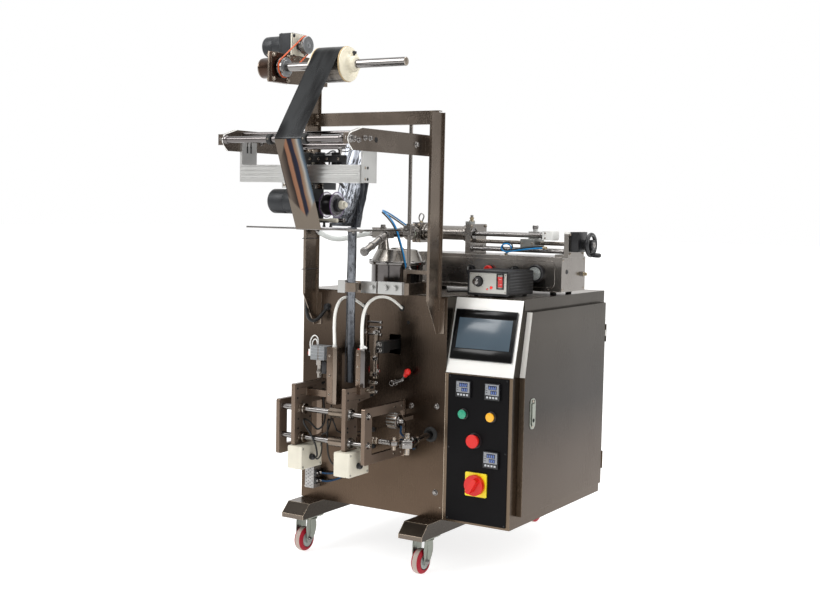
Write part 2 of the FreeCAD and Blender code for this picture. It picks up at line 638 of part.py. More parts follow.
def film_web():
    """The film as plain runs: roll, front roller, folding plate, turning bar, sachet tube."""
    dy, dz = ROLLER_Y - SHAFT_Y, ROLLER_Z - SHAFT_Z
    span = math.hypot(dy, dz)
    ny, nz = dz / span, -dy / span
    off = [r + GAP for r in (ROLL_R, ROLLER_R)]
    upper = film_run((SHAFT_Y + ny * off[0], SHAFT_Z + nz * off[0]),
                     (ROLLER_Y + ny * off[1], ROLLER_Z + nz * off[1]))
    front = film_run((ROLLER_Y - 10.3, ROLLER_Z - 1.5), (PLATE_FRONT - 1.5, PLATE_Z + 2))
    back_y = -196.0
    under = box(FILM_X, (PLATE_FRONT, back_y), (PLATE_Z - 6.5, PLATE_Z - 5.5))
    rise = film_run((back_y + 3, PLATE_Z - 4), (TURN_BAR_Y - TURN_BAR_R - 3 * GAP, ROLLER_Z))
    fall = film_run((TURN_BAR_Y + TURN_BAR_R + 3 * GAP, ROLLER_Z), (TUBE_Y + TUBE_R + 2, 1066))
    tube = rod("z", (TUBE_X, TUBE_Y), TUBE_R, 592, 1060)
    return [upper, front, under, rise, fall, tube]


def forming_plate():
    """The triangular folding plate, and the rod, clamp and rail that hold it."""
    plate = prism("z", [(58, PLATE_FRONT), (485, PLATE_FRONT), (TUBE_X + 12, -205), (TUBE_X - 12, -205)],
                  PLATE_Z - 4, PLATE_Z)
    rod_xy = (393.0, 20.0)
    upright = rod("z", rod_xy, 6, 940, 1400)
    clamp = rounded(box((378, 408), (6, 34), (1049, 1079)), "z", 4)
    rail = box((352, 364), (-262, 20), (1061, PLATE_Z - 4))
    cross = rod("x", (20, 1064), 5, 352, 378)
    portal = fused(box((382, 485), (8, 32), (928, 940)), box((382, 394), (8, 32), (TOP_Z, 928)),
                   box((473, 485), (8, 32), (TOP_Z, 928)))
    head = box((380, 406), (-4, 32), (1396, 1416))
    return [plate, fused(upright, clamp, cross, head), cut(rail, rod("x", (20, 1064), 5, 300, 378)), portal]


def forming_strap():
    """The bent strap that steadies the forming ring, with its blocks and knobs."""
    low, high = 869.0, 905.0
    left, right = 222.0, 472.0
    outer = rounded(box((left, right), (-112, 0), (low, high)), "z", 14, lambda p: p.x > 400 and p.y < -50)
    inner = rounded(box((left - 5, right - 3), (-109, 5), (low - 1, high + 1)), "z", 11,
                    lambda p: p.x > 400 and p.y < -50)
    strap = fused(cut(outer, inner), box((450, right), (-3, 0), (low, high)))
    alu = box((374, 461), (-126, -112), (870, 908))
    steel = box((309, 366), (-123, -112), (870, 906))
    knobs = [fused(rod("y", c, 9, -138, -130), rod("y", c, 4, -130, -126)) for c in ((403, 889), (436, 889))]
    knobs.append(fused(rod("y", (352, 888), 7, -133, -127), rod("y", (352, 888), 3, -127, -123)))
    collar = ring("z", (TUBE_X, TUBE_Y), 20, TUBE_R + GAP, 874, 902)
    arm = cut(box((TUBE_X - 8, TUBE_X + 8), (TUBE_Y, -112), (878, 898)), rod("z", (TUBE_X, TUBE_Y), 18, 800, 950))
    clamp = box((222, 250), (-124, -112), (866, 906))
    screws = [rod("y", (462, z), 4, -7, -3) for z in (878, 896)]
    return [fused(strap, fused(collar, arm)), alu, steel, clamp, *knobs, *screws]


def date_coder():
    """Motor, body, hanger and printing arms of the ribbon coder under the bar."""
    motor = rod("x", (-352, 1148), 36, 142, 232)
    motor = motor.makeFillet(5, [e for e in motor.Edges if e.CenterOfMass.x < 143])
    gearhead = box((232, 252), (-385, -319), (1115, 1181))
    back = box((252, 262), (-383, -262), (1089, 1290))
    hanger = box((262, 300), (-384, -373), (1215, 1290))
    hanger = fused(hanger, box((262, 420), (-384, -371), (1262, 1282)))
    head = box((300, 340), (-360, -300), (1208, 1255))
    lever = box((352, 366), (-350, -322), (1240, 1292))
    axle = rod("x", (-300, 1140), 5, 262, 372)
    feet = box((262, 360), (-330, -318), (1089, 1099))
    return [fused(motor, gearhead), fused(back, hanger, axle, feet), head, lever]


def ribbon_spool():
    axis = (-300, 1140)
    hub = ring("x", axis, 21, 5 + RUNNING, 292, 352)
    flanges = [ring("x", axis, 37, 20.9, x, x + 2) for x in (300, 338)]
    nose = ring("x", axis, 10, 5 + RUNNING, 352, 366)
    return [fused(hub, *flanges, nose)]


# ---- sealing jaws ----
def jaw_frame():
    """Two open C plates on the front panel, and the guide rods between them."""
    solids = []
    for x in FRAME_X:
        plate = box((x, x + 13), (FRAME_FRONT, 0), (352, 526))
        plate = rounded(plate, "x", 7, lambda p: p.y < -100)
        opening = box((x - 1, x + 20), (-186, 1), (380, 497))
        plate = cut(plate, opening)
        solids.append(plate)
    for z in ROD_Z:
        solids.append(rod("x", (ROD_Y, z), ROD_R, FRAME_X[0] + 13, FRAME_X[1]))
        solids.append(rod("x", (ROD_Y, z), 6, FRAME_X[1] + 13, FRAME_X[1] + 21))
    return solids


def slide_bores():
    return [rod("x", (ROD_Y, z), ROD_R + RUNNING, 0, 500) for z in ROD_Z]


def left_jaw():
    """Slide plate, bushes, sealing bar and terminal box that travel on the rods."""
    outline = [(-240, 389), (-240, 582), (-72, 582), (-72, 545), (-150, 532), (-150, 389)]
    plate = rounded(prism("x", outline, 134, 148), "x", 4, lambda p: p.y < -200)
    bushes = [rod("x", (ROD_Y, z), 15, 122, 166) for z in ROD_Z]
    plate = cut(fused(plate, *bushes), *slide_bores())
    bar = rounded(box((225, 262), (-180, -151), (520, 698)), "z", 2)
    stay = box((148, 225), (-178, -153), (540, 560))
    terminal = rounded(box((130, 184), (-250, -144), (317, 388)), "x", 3)
    return [plate, fused(bar, stay), terminal]


def right_jaw():
    outline = [(-235, 389), (-235, 582), (-74, 582), (-74, 545), (-170, 532), (-170, 389)]
    plate = rounded(prism("x", outline, 322, 336), "x", 4, lambda p: p.y < -200)
    bushes = [rod("x", (ROD_Y, z), 15, 262, 344) for z in ROD_Z]
    plate = cut(fused(plate, *bushes), *slide_bores())
    bar = rounded(box((334, 366), (-180, -151), (583, 698)), "z", 2)
    bar = fused(bar, box((336, 352), (-178, -153), (560, 590)))
    terminal = rounded(box((306, 363), (-250, -144), (314, 388)), "x", 3)
    stem = rod("x", (-140, 416), 7, 336, 442)
    web = box((322, 336), (-170, -125), (405, 427))
    eye = rod("z", (452, -140), 13, 408, 424)
    bolt = fused(hexagon("z", (452, -140), 13, 424, 434), hexagon("z", (452, -140), 13, 396, 408))
    nuts = [hexagon("x", (-140, 416), 19, x, x + 8) for x in (372, 384)]
    return [plate, bar, terminal, fused(web, stem, eye, bolt, *nuts)]


def push_rod():
    """The drive rod that comes out of the cabinet, with its big rod end and pin."""
    shank = Part.makeCylinder(9.5, 118, V(485, -86, 418), PUSH_ROD)
    clamp = Part.makeCylinder(15, 12, V(484.6, -88, 417.8), PUSH_ROD)
    eye = rod("z", (481, -110), 24, 402, 426)
    pin = fused(rod("z", (481, -110), 7, 386, 440), hexagon("z", (481, -110), 18, 382, 396),
                hexagon("z", (481, -110), 18, 430, 444))
    return [fused(shank, clamp, eye, pin)]


def jaw_extras():
    """Clean-air cylinder, cable socket and gauge pipe fixed in front of the panel."""
    cylinder = rod("x", (-90, 476), 24, 406, 440)
    hanger = box((408, 434), (-90, 0), (470, 482))
    solenoid = box((112, 165), (-112, -66), (645, 688))
    mount = box((130, 150), (-70, 0), (655, 675))
    pipe = rod("z", (138, -95), 8, 588, 645)
    post = box((42, 76), (-38, 0), (206, 280))
    return [fused(cylinder, hanger), fused(solenoid, mount, pipe), post]


def puller():
    """The film puller: two upright bars on a block whose arm passes into the window."""
    front = box((309, 327), (-112, -98), (604, 800))
    rear = box((353, 366), (-112, -100), (604, 764))
    ties = [box((327, 353), (-110, -102), (z, z + 14)) for z in (610, 660, 742)]
    block = box((366, 392), (-118, -78), (686, 722))
    arm = box((349, 374), (-100, 60), (689, 717))
    bolts = [rod("y", (x, z), 5, -119, -112) for x in (318, 360) for z in (617, 667, 749)]
    knobs = [rod("y", (379, z), 7, -126, -118) for z in (695, 713)]
    return [fused(front, rear, *ties, block, cut(arm, box((340, 366), (-130, -90), (600, 800)))), *bolts, *knobs]


def clutch_lever():
    hub = rod("y", LEVER_PIVOT, 9, -22, -GAP)
    arm = Part.makeCylinder(5, 44, V(365, -14, 580), V(0.93, -0.14, 0.34))
    stem = Part.makeCylinder(3.5, 34, V(404, -19, 595), V(0.62, -0.25, 0.75))
    ball = Part.makeSphere(10.5, V(427, -28, 622))
    return [fused(hub, arm, stem, ball)]


# ---- filler ----
def filler_housing():
    shell = box(BOX_X, BOX_Y, BOX_Z)
    inner = box((BOX_X[0] + 2, BOX_X[1] - 2), (BOX_Y[0] + 2, BOX_Y[1] - 2), (BOX_Z[0] + 2, BOX_Z[1] - 2))
    shell = cut(shell, inner)
    holes = [rod("y", centre, 8, BOX_Y[0] - 5, BOX_Y[0] + 5) for centre in DIALS]
    shell = cut(shell, *holes)
    feet = [rod("z", (x, y), 9, TOP_Z, BOX_Z[0]) for x in (280, 755) for y in (323, 440)]
    gauge = rod("y", (711, 933), 21, BOX_Y[0] - 16, BOX_Y[0])
    port = rod("x", (446, 930), 5, BOX_X[1], BOX_X[1] + 16)
    nut = hexagon("x", (446, 930), 14, BOX_X[1], BOX_X[1] + 7)
    return [shell, *feet, gauge, fused(port, nut)]


def dial(centre):
    face = BOX_Y[0] - GAP
    skirt = rod("y", centre, 13, face - 8, face)
    grip = box((centre[0] - 4.5, centre[0] + 4.5), (face - 20, face - 8), (centre[1] - 13, centre[1] + 13))
    stem = rod("y", centre, 7.5, face, face + 15)
    return [fused(skirt, rounded(grip, "y", 3), stem)]


def mushroom(centre):
    face = BOX_Y[0] - 7
    head = rod("y", centre, 15, face - 12, face)
    head = head.makeFillet(4, [e for e in head.Edges if e.CenterOfMass.y < face - 11])
    return [fused(head, rod("y", centre, 7.5, face, face + 20))]


def filler_barrel():
    """Barrel, end block, guide rod, right plate, valve block, outlet pipe and nozzle."""
    axis = (PISTON_Y, PISTON_Z)
    barrel = rod("x", axis, 23.5, 268, 438)
    block = box((438, 458), (302, 413), (BOX_Z[1], 1085))
    bore = rod("x", axis, PISTON_R + RUNNING, 300, 460)
    recess = rod("x", axis, 17, 448, 460)
    screw_bore = rod("x", (SCREW_Y, SCREW_Z), SCREW_R + RUNNING, 440, 460)
    block = cut(fused(block, barrel), bore, recess, screw_bore)
    stud = fused(rod("z", (448, 326), 9, 1085, 1092), rod("z", (448, 326), 5, 1092, 1115))
    guide = rod("x", (310, 1005), 7, 458, 804)
    rear_guide = rod("x", (390, 1005), 7, 458, 804)
    plate = box((804, 820), (289, 410), (BOX_Z[1], 1069))
    plate = cut(plate, rod("x", (SCREW_Y, SCREW_Z), 9, 800, 825))
    foot = box((770, 804), (296, 404), (BOX_Z[1], 996))
    gear = box((820, 849), (299, 366), (1006, 1069))
    gear = cut(gear, rod("x", (SCREW_Y, SCREW_Z), SCREW_R + RUNNING, 815, 855))
    valve = box((236, 268), (294, 354), (1018, 1086))
    pipe = rod("y", (252, 1052), 15, 70, 294)
    flange = rod("y", (252, 1052), 24, 252, 264)
    elbow = box((236, 300), (46, 76), (1036, 1066))
    nozzle = Part.makeCylinder(11, 150, V(286, 50, 1048), V(0.06, -0.93, -0.36))
    tip = Part.makeCylinder(14, 22, V(287.5, 28, 1039.5), V(0.06, -0.93, -0.36))
    foot_cone = cone("z", (252, 90), 20, 13, 998, 1040)
    return [block, stud, guide, rear_guide, fused(plate, foot), gear, valve,
            fused(pipe, flange, elbow, nozzle, tip, foot_cone)]


def filler_piston():
    """The piston rod and the white crosshead that it drives."""
    rod_part = rod("x", (PISTON_Y, PISTON_Z), PISTON_R, 320, 722)
    crosshead = box((722, 758), (300, 348), (1040, 1070))
    crosshead = cut(crosshead, rod("x", (SCREW_Y, SCREW_Z), SCREW_R + 6, 700, 800))
    return [fused(rod_part, crosshead)]


def filler_stop():
    """The travelling nut that sets the stroke, with its lock knob."""
    block = box((644, 694), (300, 372), (1014, 1042))
    horn = box((650, 688), (346, 368), (1042, 1066))
    knob = rod("z", (669, 357), 8, 1066, 1076)
    return [cut(fused(block, horn, knob), rod("x", (SCREW_Y, SCREW_Z), SCREW_R + RUNNING, 600, 700))]


def handwheel():
    """The lead screw with its handwheel and crank handle."""
    axis = (SCREW_Y, SCREW_Z)
    screw = rod("x", axis, SCREW_R, 444, 880)
    hub = rod("x", axis, 16, 850, 884)
    rim = Part.makeTorus(33, 6, V(876, *axis), AXES["x"])
    spokes = [box((872, 880), (axis[0] - 4, axis[0] + 4), (axis[1], axis[1] + 33)) for _ in range(3)]
    for k, spoke in enumerate(spokes):
        spoke.rotate(V(876, *axis), AXES["x"], 60 + 120 * k)
    handle = rod("x", (axis[0] - 6, axis[1] - 32), 5.5, 882, 912)
    root = rod("x", (axis[0] - 6, axis[1] - 32), 3.5, 872, 884)
    return [fused(screw, hub, rim, *spokes, root, handle)]


def drum():
    """The stainless drum with its flanged cover beside the forming tube."""
    centre = (293, 110)
    body = ring("z", centre, 84, 82, TOP_Z, 954)
    rim = rod("z", centre, 90, 954, 960)
    cover = cone("z", centre, 86, 66, 960, 998)
    return [body, fused(rim, cover)]


# ---- power box ----
def power_box():
    x, y, z = (580, 720), (75, 246), (870, 945)
    shell = rounded(box(x, y, z), "y", 3)
    shell = cut(shell, box((583, 717), (78, 243), (873, 942)))
    shell = cut(shell, rod("y", POWER_KNOB, 4, 70, 80), box((684, 702), (70, 80), (894, 934)))
    feet = [rod("z", (a, b), 7, TOP_Z, 870) for a in (600, 700) for b in (92, 228)]
    return [shell, *feet]


def power_knob():
    knob = rod("y", POWER_KNOB, 12, 56, 74)
    knob = knob.makeFillet(1.5, [e for e in knob.Edges if e.CenterOfMass.y < 57])
    return [fused(knob, rod("y", POWER_KNOB, 3.5, 74, 90))]


def power_rocker():
    x, z = ROCKER
    outline = [(73, z - 16.5), (80, z - 16.5), (80, z + 16.5), (70, z + 16.5), (74, z)]
    return [prism("x", outline, x - 8, x + 8)]


# ---- hoses and sleeves ----
def air_hoses():
    """Two thin air lines: one from the filler's stop, one arching over the valve."""
    loop = [(730, 290, 1015), (690, 284, 1012), (640, 278, 1004), (604, 276, 992 + 6), (585, 277, 1006),
            (590, 279, 1024), (612, 281, 1026), (622, 284, 1012), (612, 288, 1000), (596, 293, 994)]
    arch = [(232, 300, 1060), (215, 250, 1090), (215, 170, 1118), (240, 90, 1128), (290, 50, 1112),
            (330, 34, 1082), (352, 30, 1035), (368, 36, 975), (377, 40, 915), (384, 44, TOP_Z + 1)]
    return [cord("air loop", loop, 5), cord("air arch", arch, 5)]


def product_hose():
    route = [(235.3, 61, 1051), (215, 60, 1050), (190, 44, 1044), (160, 20, 1034), (128, 2, 1028),
             (95, -14, 1036), (72, -30, 1054)]
    fitting = fused(rod("x", (-30, 1060), 9, 54, 66), Part.makeSphere(11, V(66, -30, 1060)))
    hose = cord("product hose", route, 18)
    return [hose, cut(fitting, hose)]


def heater_sleeves():
    left = [(244, -166, 699), (242, -166, 735), (238, -162, 775), (234, -150, 815), (232, -122, 846),
            (232, -80, 852), (236, -40, 838), (240, 0, 816)]
    right = [(347, -166, 699), (345, -166, 735), (341, -160, 775), (338, -148, 812), (340, -126, 842),
             (352, -94, 858), (366, -58, 856), (377, -26, 840), (384, 0, 819)]
    return [cord("left sleeve", left, 10), cord("right sleeve", right, 10)]


def conduit():
    """Ribbed conduit looping at the left post's foot, and the cable up that post."""
    loop = [(44, -40, 864), (43, -42, 828), (44, -46, 792), (56, -48, 764), (78, -40, 760), (92, -22, 784), (96, 0, 806)]
    cable = box((47, 50.7), (-70, -58), (TOP_Z, 1290))
    ties = [ring_box(z) for z in (930, 1030)]
    return [cord("conduit", loop, 12), fused(cable, *ties)]


def ring_box(z):
    """A cable tie round the left post."""
    outer = box((45.5, 62), (-79, -40), (z, z + 4))
    inner = box((47, 60.5), (-77.5, -30), (z - 1, z + 5))
    return cut(outer, inner)


# ---- write every node ----
NODES = {
    "foot_beams": foot_beam(BEAM_X[0], CASTER_X[0]) + foot_beam(BEAM_X[1], CASTER_X[1]),
    "caster_fork_left": [caster_fork(CASTER_X[0], CASTER_Y[0], -1, 5 + RUNNING)],
    "caster_fork_right": [caster_fork(CASTER_X[1], CASTER_Y[0], -1, 5 + RUNNING)],
    "rear_forks": [caster_fork(x, CASTER_Y[1], 1, 5.0) for x in CASTER_X],
    "wheel_front_left": caster_wheel(CASTER_X[0], CASTER_Y[0], -1),
    "wheel_front_right": caster_wheel(CASTER_X[1], CASTER_Y[0], -1),
    "wheel_rear_left": caster_wheel(CASTER_X[0], CASTER_Y[1], 1),
    "wheel_rear_right": caster_wheel(CASTER_X[1], CASTER_Y[1], 1),
    "front_panel": front_panel(),
    "body_panels": body_panels(),
    "top_lid": top_lid(),
    "control_frame": control_frame(),
    "control_plate": control_plate(),
    "panel_fittings": panel_fittings(),
    "green_button": push_button(GREEN, 12.2, 7),
    "yellow_button": push_button(YELLOW, 12.2, 7),
    "estop_button": estop_button(),
    "switch_knob": switch_knob(),
    "hmi_bezel": hmi_bezel(),
    "hmi_screen": hmi_screen(),
    "side_door": side_door(),
    "door_latch": door_latch(),
    "inner_drive": inner_drive(),
    "upper_frame": upper_frame(),
    "roller_arms": roller_arms(),
    "alu_frame": alu_frame(),
    "front_roller": front_roller(),
    "roll_arm": roll_arm(),
    "unwind_shaft": unwind_shaft(),
    "film_roll": film_roll(),
    "drive_motor": drive_motor(),
    "motor_pulley": motor_pulley(),
    "drive_belt": drive_belt(),
    "film_web": film_web(),
    "forming_plate": forming_plate(),
    "forming_strap": forming_strap(),
    "date_coder": date_coder(),
    "ribbon_spool": ribbon_spool(),
    "jaw_frame": jaw_frame() + jaw_extras(),
    "left_jaw": left_jaw(),
    "right_jaw": right_jaw(),
    "push_rod": push_rod(),
    "puller": puller(),
    "clutch_lever": clutch_lever(),
    "filler_housing": filler_housing(),
    "filler_left_dial": dial(DIALS[0]),
    "filler_stop_button": mushroom(DIALS[1]),
    "filler_right_dial": dial(DIALS[2]),
    "filler_barrel": filler_barrel(),
    "filler_piston": filler_piston(),
    "filler_stop": filler_stop(),
    "handwheel": handwheel(),
    "drum": drum(),
    "power_box": power_box(),
    "power_knob": power_knob(),
    "power_rocker": power_rocker(),
    "air_hoses": air_hoses(),
    "product_hose": product_hose(),
    "heater_sleeves": heater_sleeves(),
    "conduit": conduit(),
}
for node, shapes in NODES.items():
    save(node, *shapes)
print(len(NODES), "nodes")
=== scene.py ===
import json
import math

import bmesh
import bpy
from mathutils import Matrix, Vector, noise

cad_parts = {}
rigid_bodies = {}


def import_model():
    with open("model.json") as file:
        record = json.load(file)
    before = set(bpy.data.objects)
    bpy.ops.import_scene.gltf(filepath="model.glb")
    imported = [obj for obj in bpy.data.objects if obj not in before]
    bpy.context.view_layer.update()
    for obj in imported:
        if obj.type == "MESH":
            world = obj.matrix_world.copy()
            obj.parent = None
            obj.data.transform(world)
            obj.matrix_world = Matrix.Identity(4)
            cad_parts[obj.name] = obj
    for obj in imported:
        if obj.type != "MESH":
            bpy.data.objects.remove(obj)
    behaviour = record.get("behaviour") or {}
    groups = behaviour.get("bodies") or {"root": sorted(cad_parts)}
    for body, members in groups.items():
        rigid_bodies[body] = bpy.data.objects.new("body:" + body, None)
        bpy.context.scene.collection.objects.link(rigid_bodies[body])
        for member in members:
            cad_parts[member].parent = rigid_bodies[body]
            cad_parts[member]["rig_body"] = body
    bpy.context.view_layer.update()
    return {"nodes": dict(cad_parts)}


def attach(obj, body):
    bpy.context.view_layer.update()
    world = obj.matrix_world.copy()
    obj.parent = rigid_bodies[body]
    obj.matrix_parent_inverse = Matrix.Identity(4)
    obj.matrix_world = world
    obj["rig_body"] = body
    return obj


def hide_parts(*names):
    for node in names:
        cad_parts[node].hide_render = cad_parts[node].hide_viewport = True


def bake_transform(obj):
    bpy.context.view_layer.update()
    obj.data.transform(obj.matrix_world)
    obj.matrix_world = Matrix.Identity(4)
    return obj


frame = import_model()
NODES = frame["nodes"]
MM = 0.001
SHIFT = Vector((-432.0, -145.5, 0.0))   # working axes start at the cabinet's left front floor corner


# centres in the working axes, as (y, z)
SHAFT = (-257, 1556)    # roll shaft
MOTOR = (-149, 1636)    # motor that drives the roll
SPOOL = (-300, 1140)    # ribbon spool of the date coder
SCREW = (336, 1029)     # filler's stroke screw
GUIDE_Y, GUIDE_ZS = -208, (412, 502)    # the jaws' two guide rods

# centres as (x, y)
BIG_ROD_END = (481, -110)
SMALL_ROD_END = (452, -140)


def at(point):
    """A point in the working axes, in millimetres, as a point of the frame in metres."""
    return (Vector(point) + SHIFT) * MM


# ---------------------------------------------------------------- camera
def make_camera():
    """The fixed camera, from its place, direction, roll and lens."""
    azimuth, elevation, roll = math.radians(31.774587), math.radians(4.306110), math.radians(1.137217)
    back = Vector((math.sin(azimuth) * math.cos(elevation), -math.cos(azimuth) * math.cos(elevation),
                   math.sin(elevation)))
    right = (-back).cross(Vector((0, 0, 1))).normalized()
    up = right.cross(-back)
    x = right * math.cos(roll) + up * math.sin(roll)
    y = up * math.cos(roll) - right * math.sin(roll)
    data = bpy.data.cameras.new("camera")
    data.lens = 54.867
    data.sensor_width = 36.0
    data.clip_end = 60.0
    camera = bpy.data.objects.new("camera", data)
    turn = Matrix((x, y, back)).transposed().to_4x4()
    camera.matrix_world = Matrix.Translation(at((2478.52, -3334.07, 1141.40))) @ turn
    bpy.context.scene.collection.objects.link(camera)
    bpy.context.scene.camera = camera


make_camera()


# ---------------------------------------------------------------- materials
def lin(text):
    """A hex colour as linear red, green, blue and alpha."""
    parts = [int(text[i:i + 2], 16) / 255 for i in (1, 3, 5)]
    return tuple(c / 12.92 if c <= 0.04045 else ((c + 0.055) / 1.055) ** 2.4 for c in parts) + (1.0,)


def scaled(colour, k):
    """A colour made lighter or darker."""
    return tuple(min(1.0, c * k) for c in colour[:3]) + (1.0,)


class Nodes:
    """A short way to write a material's node tree."""

    def __init__(self, name):
        self.material = bpy.data.materials.new(name)
        self.material.use_nodes = True
        self.tree = self.material.node_tree
        self.shader = self.tree.nodes["Principled BSDF"]

    def add(self, kind, **settings):
        node = self.tree.nodes.new("ShaderNode" + kind)
        for key, value in settings.items():
            if hasattr(node, key):
                setattr(node, key, value)
            else:
                self.feed(node, key.replace("_", " ").title() if isinstance(key, str) else key, value)
        return node

    def feed(self, node, socket, value):
        target = node.inputs[socket]
        if hasattr(value, "is_output"):
            self.tree.links.new(value, target)
        else:
            target.default_value = value

    def coords(self, scale=(1, 1, 1), turn=(0, 0, 0)):
        source = self.add("TexCoord")
        mapping = self.add("Mapping")
        self.feed(mapping, "Vector", source.outputs["Object"])
        self.feed(mapping, "Scale", scale)
        self.feed(mapping, "Rotation", turn)
        return mapping.outputs[0]

    def noise(self, scale, detail=2.0, stretch=(1, 1, 1), rough=0.5, turn=(0, 0, 0)):
        node = self.add("TexNoise")
        self.feed(node, "Vector", self.coords(stretch, turn))
        self.feed(node, "Scale", scale)
        self.feed(node, "Detail", detail)
        self.feed(node, "Roughness", rough)
        return node.outputs["Fac"]

    def remap(self, value, low, high, from_low=0.35, from_high=0.65):
        node = self.add("MapRange")
        self.feed(node, "Value", value)
        self.feed(node, "From Min", from_low)
        self.feed(node, "From Max", from_high)
        self.feed(node, "To Min", low)
        self.feed(node, "To Max", high)
        return node.outputs[0]

    def math(self, operation, a, b=0.0):
        node = self.add("Math", operation=operation)
        self.feed(node, 0, a)
        self.feed(node, 1, b)
        return node.outputs[0]

    def mix(self, factor, a, b):
        node = self.add("Mix", data_type="RGBA")
        for index, value in ((0, factor), (6, a), (7, b)):
            self.feed(node, index, value)
        return node.outputs[2]

    def edge_mask(self, radius=0.0009, gain=9.0):
        bevel = self.add("Bevel", samples=4)
        self.feed(bevel, "Radius", radius)
        flat = self.add("NewGeometry")
        dot = self.add("VectorMath", operation="DOT_PRODUCT")
        self.tree.links.new(bevel.outputs[0], dot.inputs[0])
        self.tree.links.new(flat.outputs["Normal"], dot.inputs[1])
        lost = self.math("SUBTRACT", 1.0, dot.outputs["Value"])
        return self.remap(self.math("MULTIPLY", lost, gain), 0.0, 1.0, 0.25, 1.0), bevel.outputs[0]


GRAIN = {"x": (6, 900, 900), "y": (900, 6, 900), "z": (900, 900, 6)}


def surface(name, colour, rough=0.4, metallic=0.0, grain=None, tone=0.10, patch=5.0, smudge=0.06, edge_tint=None,
            micro=0.0, micro_scale=900.0, ior=1.45, coat=0.0, coat_rough=0.1, alpha=1.0, transmission=0.0,
            bevel=0.0008, grain_depth=0.00002, grain_tone=0.10, emission=None, emission_strength=0.0, sheen=0.0):
    """A shaded material: tone patches, brushed grain, smudges in the gloss, lighter flecks along edges and fine bump.
    """
    n = Nodes(name)
    base = lin(colour)
    patches = n.remap(n.noise(patch, 4.0), 0.0, 1.0, 0.30, 0.70)
    out = n.mix(patches, scaled(base, 1 - tone), scaled(base, 1 + tone))
    gloss = n.remap(n.noise(patch * 3.1, 5.0), rough - smudge, rough + smudge, 0.3, 0.7)
    height = None
    if grain:
        lines = n.noise(1.0, 3.0, GRAIN[grain], 0.65)
        out = n.mix(n.remap(lines, 0.0, 1.0, 0.3, 0.7), n.mix(0.5, out, scaled(base, 1 - 2 * grain_tone)),
                    n.mix(0.5, out, scaled(base, 1 + 2 * grain_tone)))
        gloss = n.math("ADD", gloss, n.remap(lines, -0.5 * grain_tone, 0.7 * grain_tone))
        height = lines
    edge, normal = n.edge_mask(bevel)
    # A lighter colour in flecks along every edge, from the bevel mask.
    if edge_tint:
        edge_flecks = n.math("MULTIPLY", edge, n.remap(n.noise(160.0, 4.0), 0.25, 1.0, 0.42, 0.60))
        out = n.mix(edge_flecks, out, lin(edge_tint))
    n.tree.links.new(out, n.shader.inputs["Base Color"])
    n.tree.links.new(gloss, n.shader.inputs["Roughness"])
    bump = n.add("Bump")
    bump.inputs["Strength"].default_value = 0.6
    if height is not None:
        bump.inputs["Distance"].default_value = grain_depth
        n.tree.links.new(height, bump.inputs["Height"])
    else:
        bump.inputs["Distance"].default_value = micro or 0.00002
        n.tree.links.new(n.noise(micro_scale, 3.0), bump.inputs["Height"])
    n.tree.links.new(normal, bump.inputs["Normal"])
    n.tree.links.new(bump.outputs[0], n.shader.inputs["Normal"])
    for socket, value in (("Metallic", metallic), ("IOR", ior), ("Coat Weight", coat), ("Coat Roughness", coat_rough),
                          ("Transmission Weight", transmission), ("Sheen Weight", sheen), ("Alpha", alpha)):
        n.shader.inputs[socket].default_value = value
    if emission:
        n.shader.inputs["Emission Color"].default_value = lin(emission)
        n.shader.inputs["Emission Strength"].default_value = emission_strength
    return n.material


PANEL = surface("panel_front", "#5c524a", 0.26, 0.95, "z", 0.08, 2.2, 0.06, "#9d9186", grain_tone=0.04)
PANEL_SIDE = surface("panel_side", "#5f554c", 0.24, 0.95, "z", 0.08, 1.8, 0.05, "#a3978b", grain_tone=0.04)
# A lighter copy of the panel steel for the lid's flat faces: painted light on the top.
LID_PAINTED_LIGHT = surface("panel_lid_painted_light", "#8d857d", 0.28, 0.95, "y", 0.10, 3.0, 0.06, "#c9c1b8", grain_tone=0.05)
FRAME_STEEL = surface("frame_steel", "#84786d", 0.25, 0.95, "z", 0.06, 3.0, 0.05, "#b4a89b", grain_depth=0.000003,
                      grain_tone=0.01)
ARM_STEEL = surface("arm_steel", "#7d736a", 0.25, 0.95, "y", 0.06, 4.0, 0.05, "#bcb1a4", grain_depth=0.000003,
                    grain_tone=0.01)
BEAM_STEEL = surface("beam_steel", "#6f655c", 0.27, 0.95, "y", 0.08, 6.0, 0.05, "#bfb5aa", grain_depth=0.000005,
                     grain_tone=0.02)
MARGIN = surface("control_margin", "#6e5f50", 0.28, 0.90, "z", 0.07, 3.0, 0.05, "#b7a793", grain_tone=0.04)
POLISHED = surface("polished_sheet", "#f3f2ee", 0.30, 0.35, None, 0.01, 3.0, 0.03, "#fbfaf7")
BRIGHT = surface("bright_steel", "#8b8681", 0.25, 1.0, "x", 0.04, 5.0, 0.05, "#cfcac3", grain_depth=0.000004,
                 grain_tone=0.015)
BRIGHT_Z = surface("bright_steel_turned", "#938e88", 0.22, 1.0, "z", 0.05, 7.0, 0.05, "#cfcac3", grain_depth=0.000004,
                   grain_tone=0.015)
JAW_STEEL = surface("jaw_plate", "#75665a", 0.24, 0.95, "y", 0.05, 12.0, 0.05, "#b09b88", grain_depth=0.000005,
                    grain_tone=0.02)
CHROME = surface("chrome", "#868381", 0.13, 1.0, None, 0.03, 20.0, 0.03, "#d6d2cc", micro=0.000004)
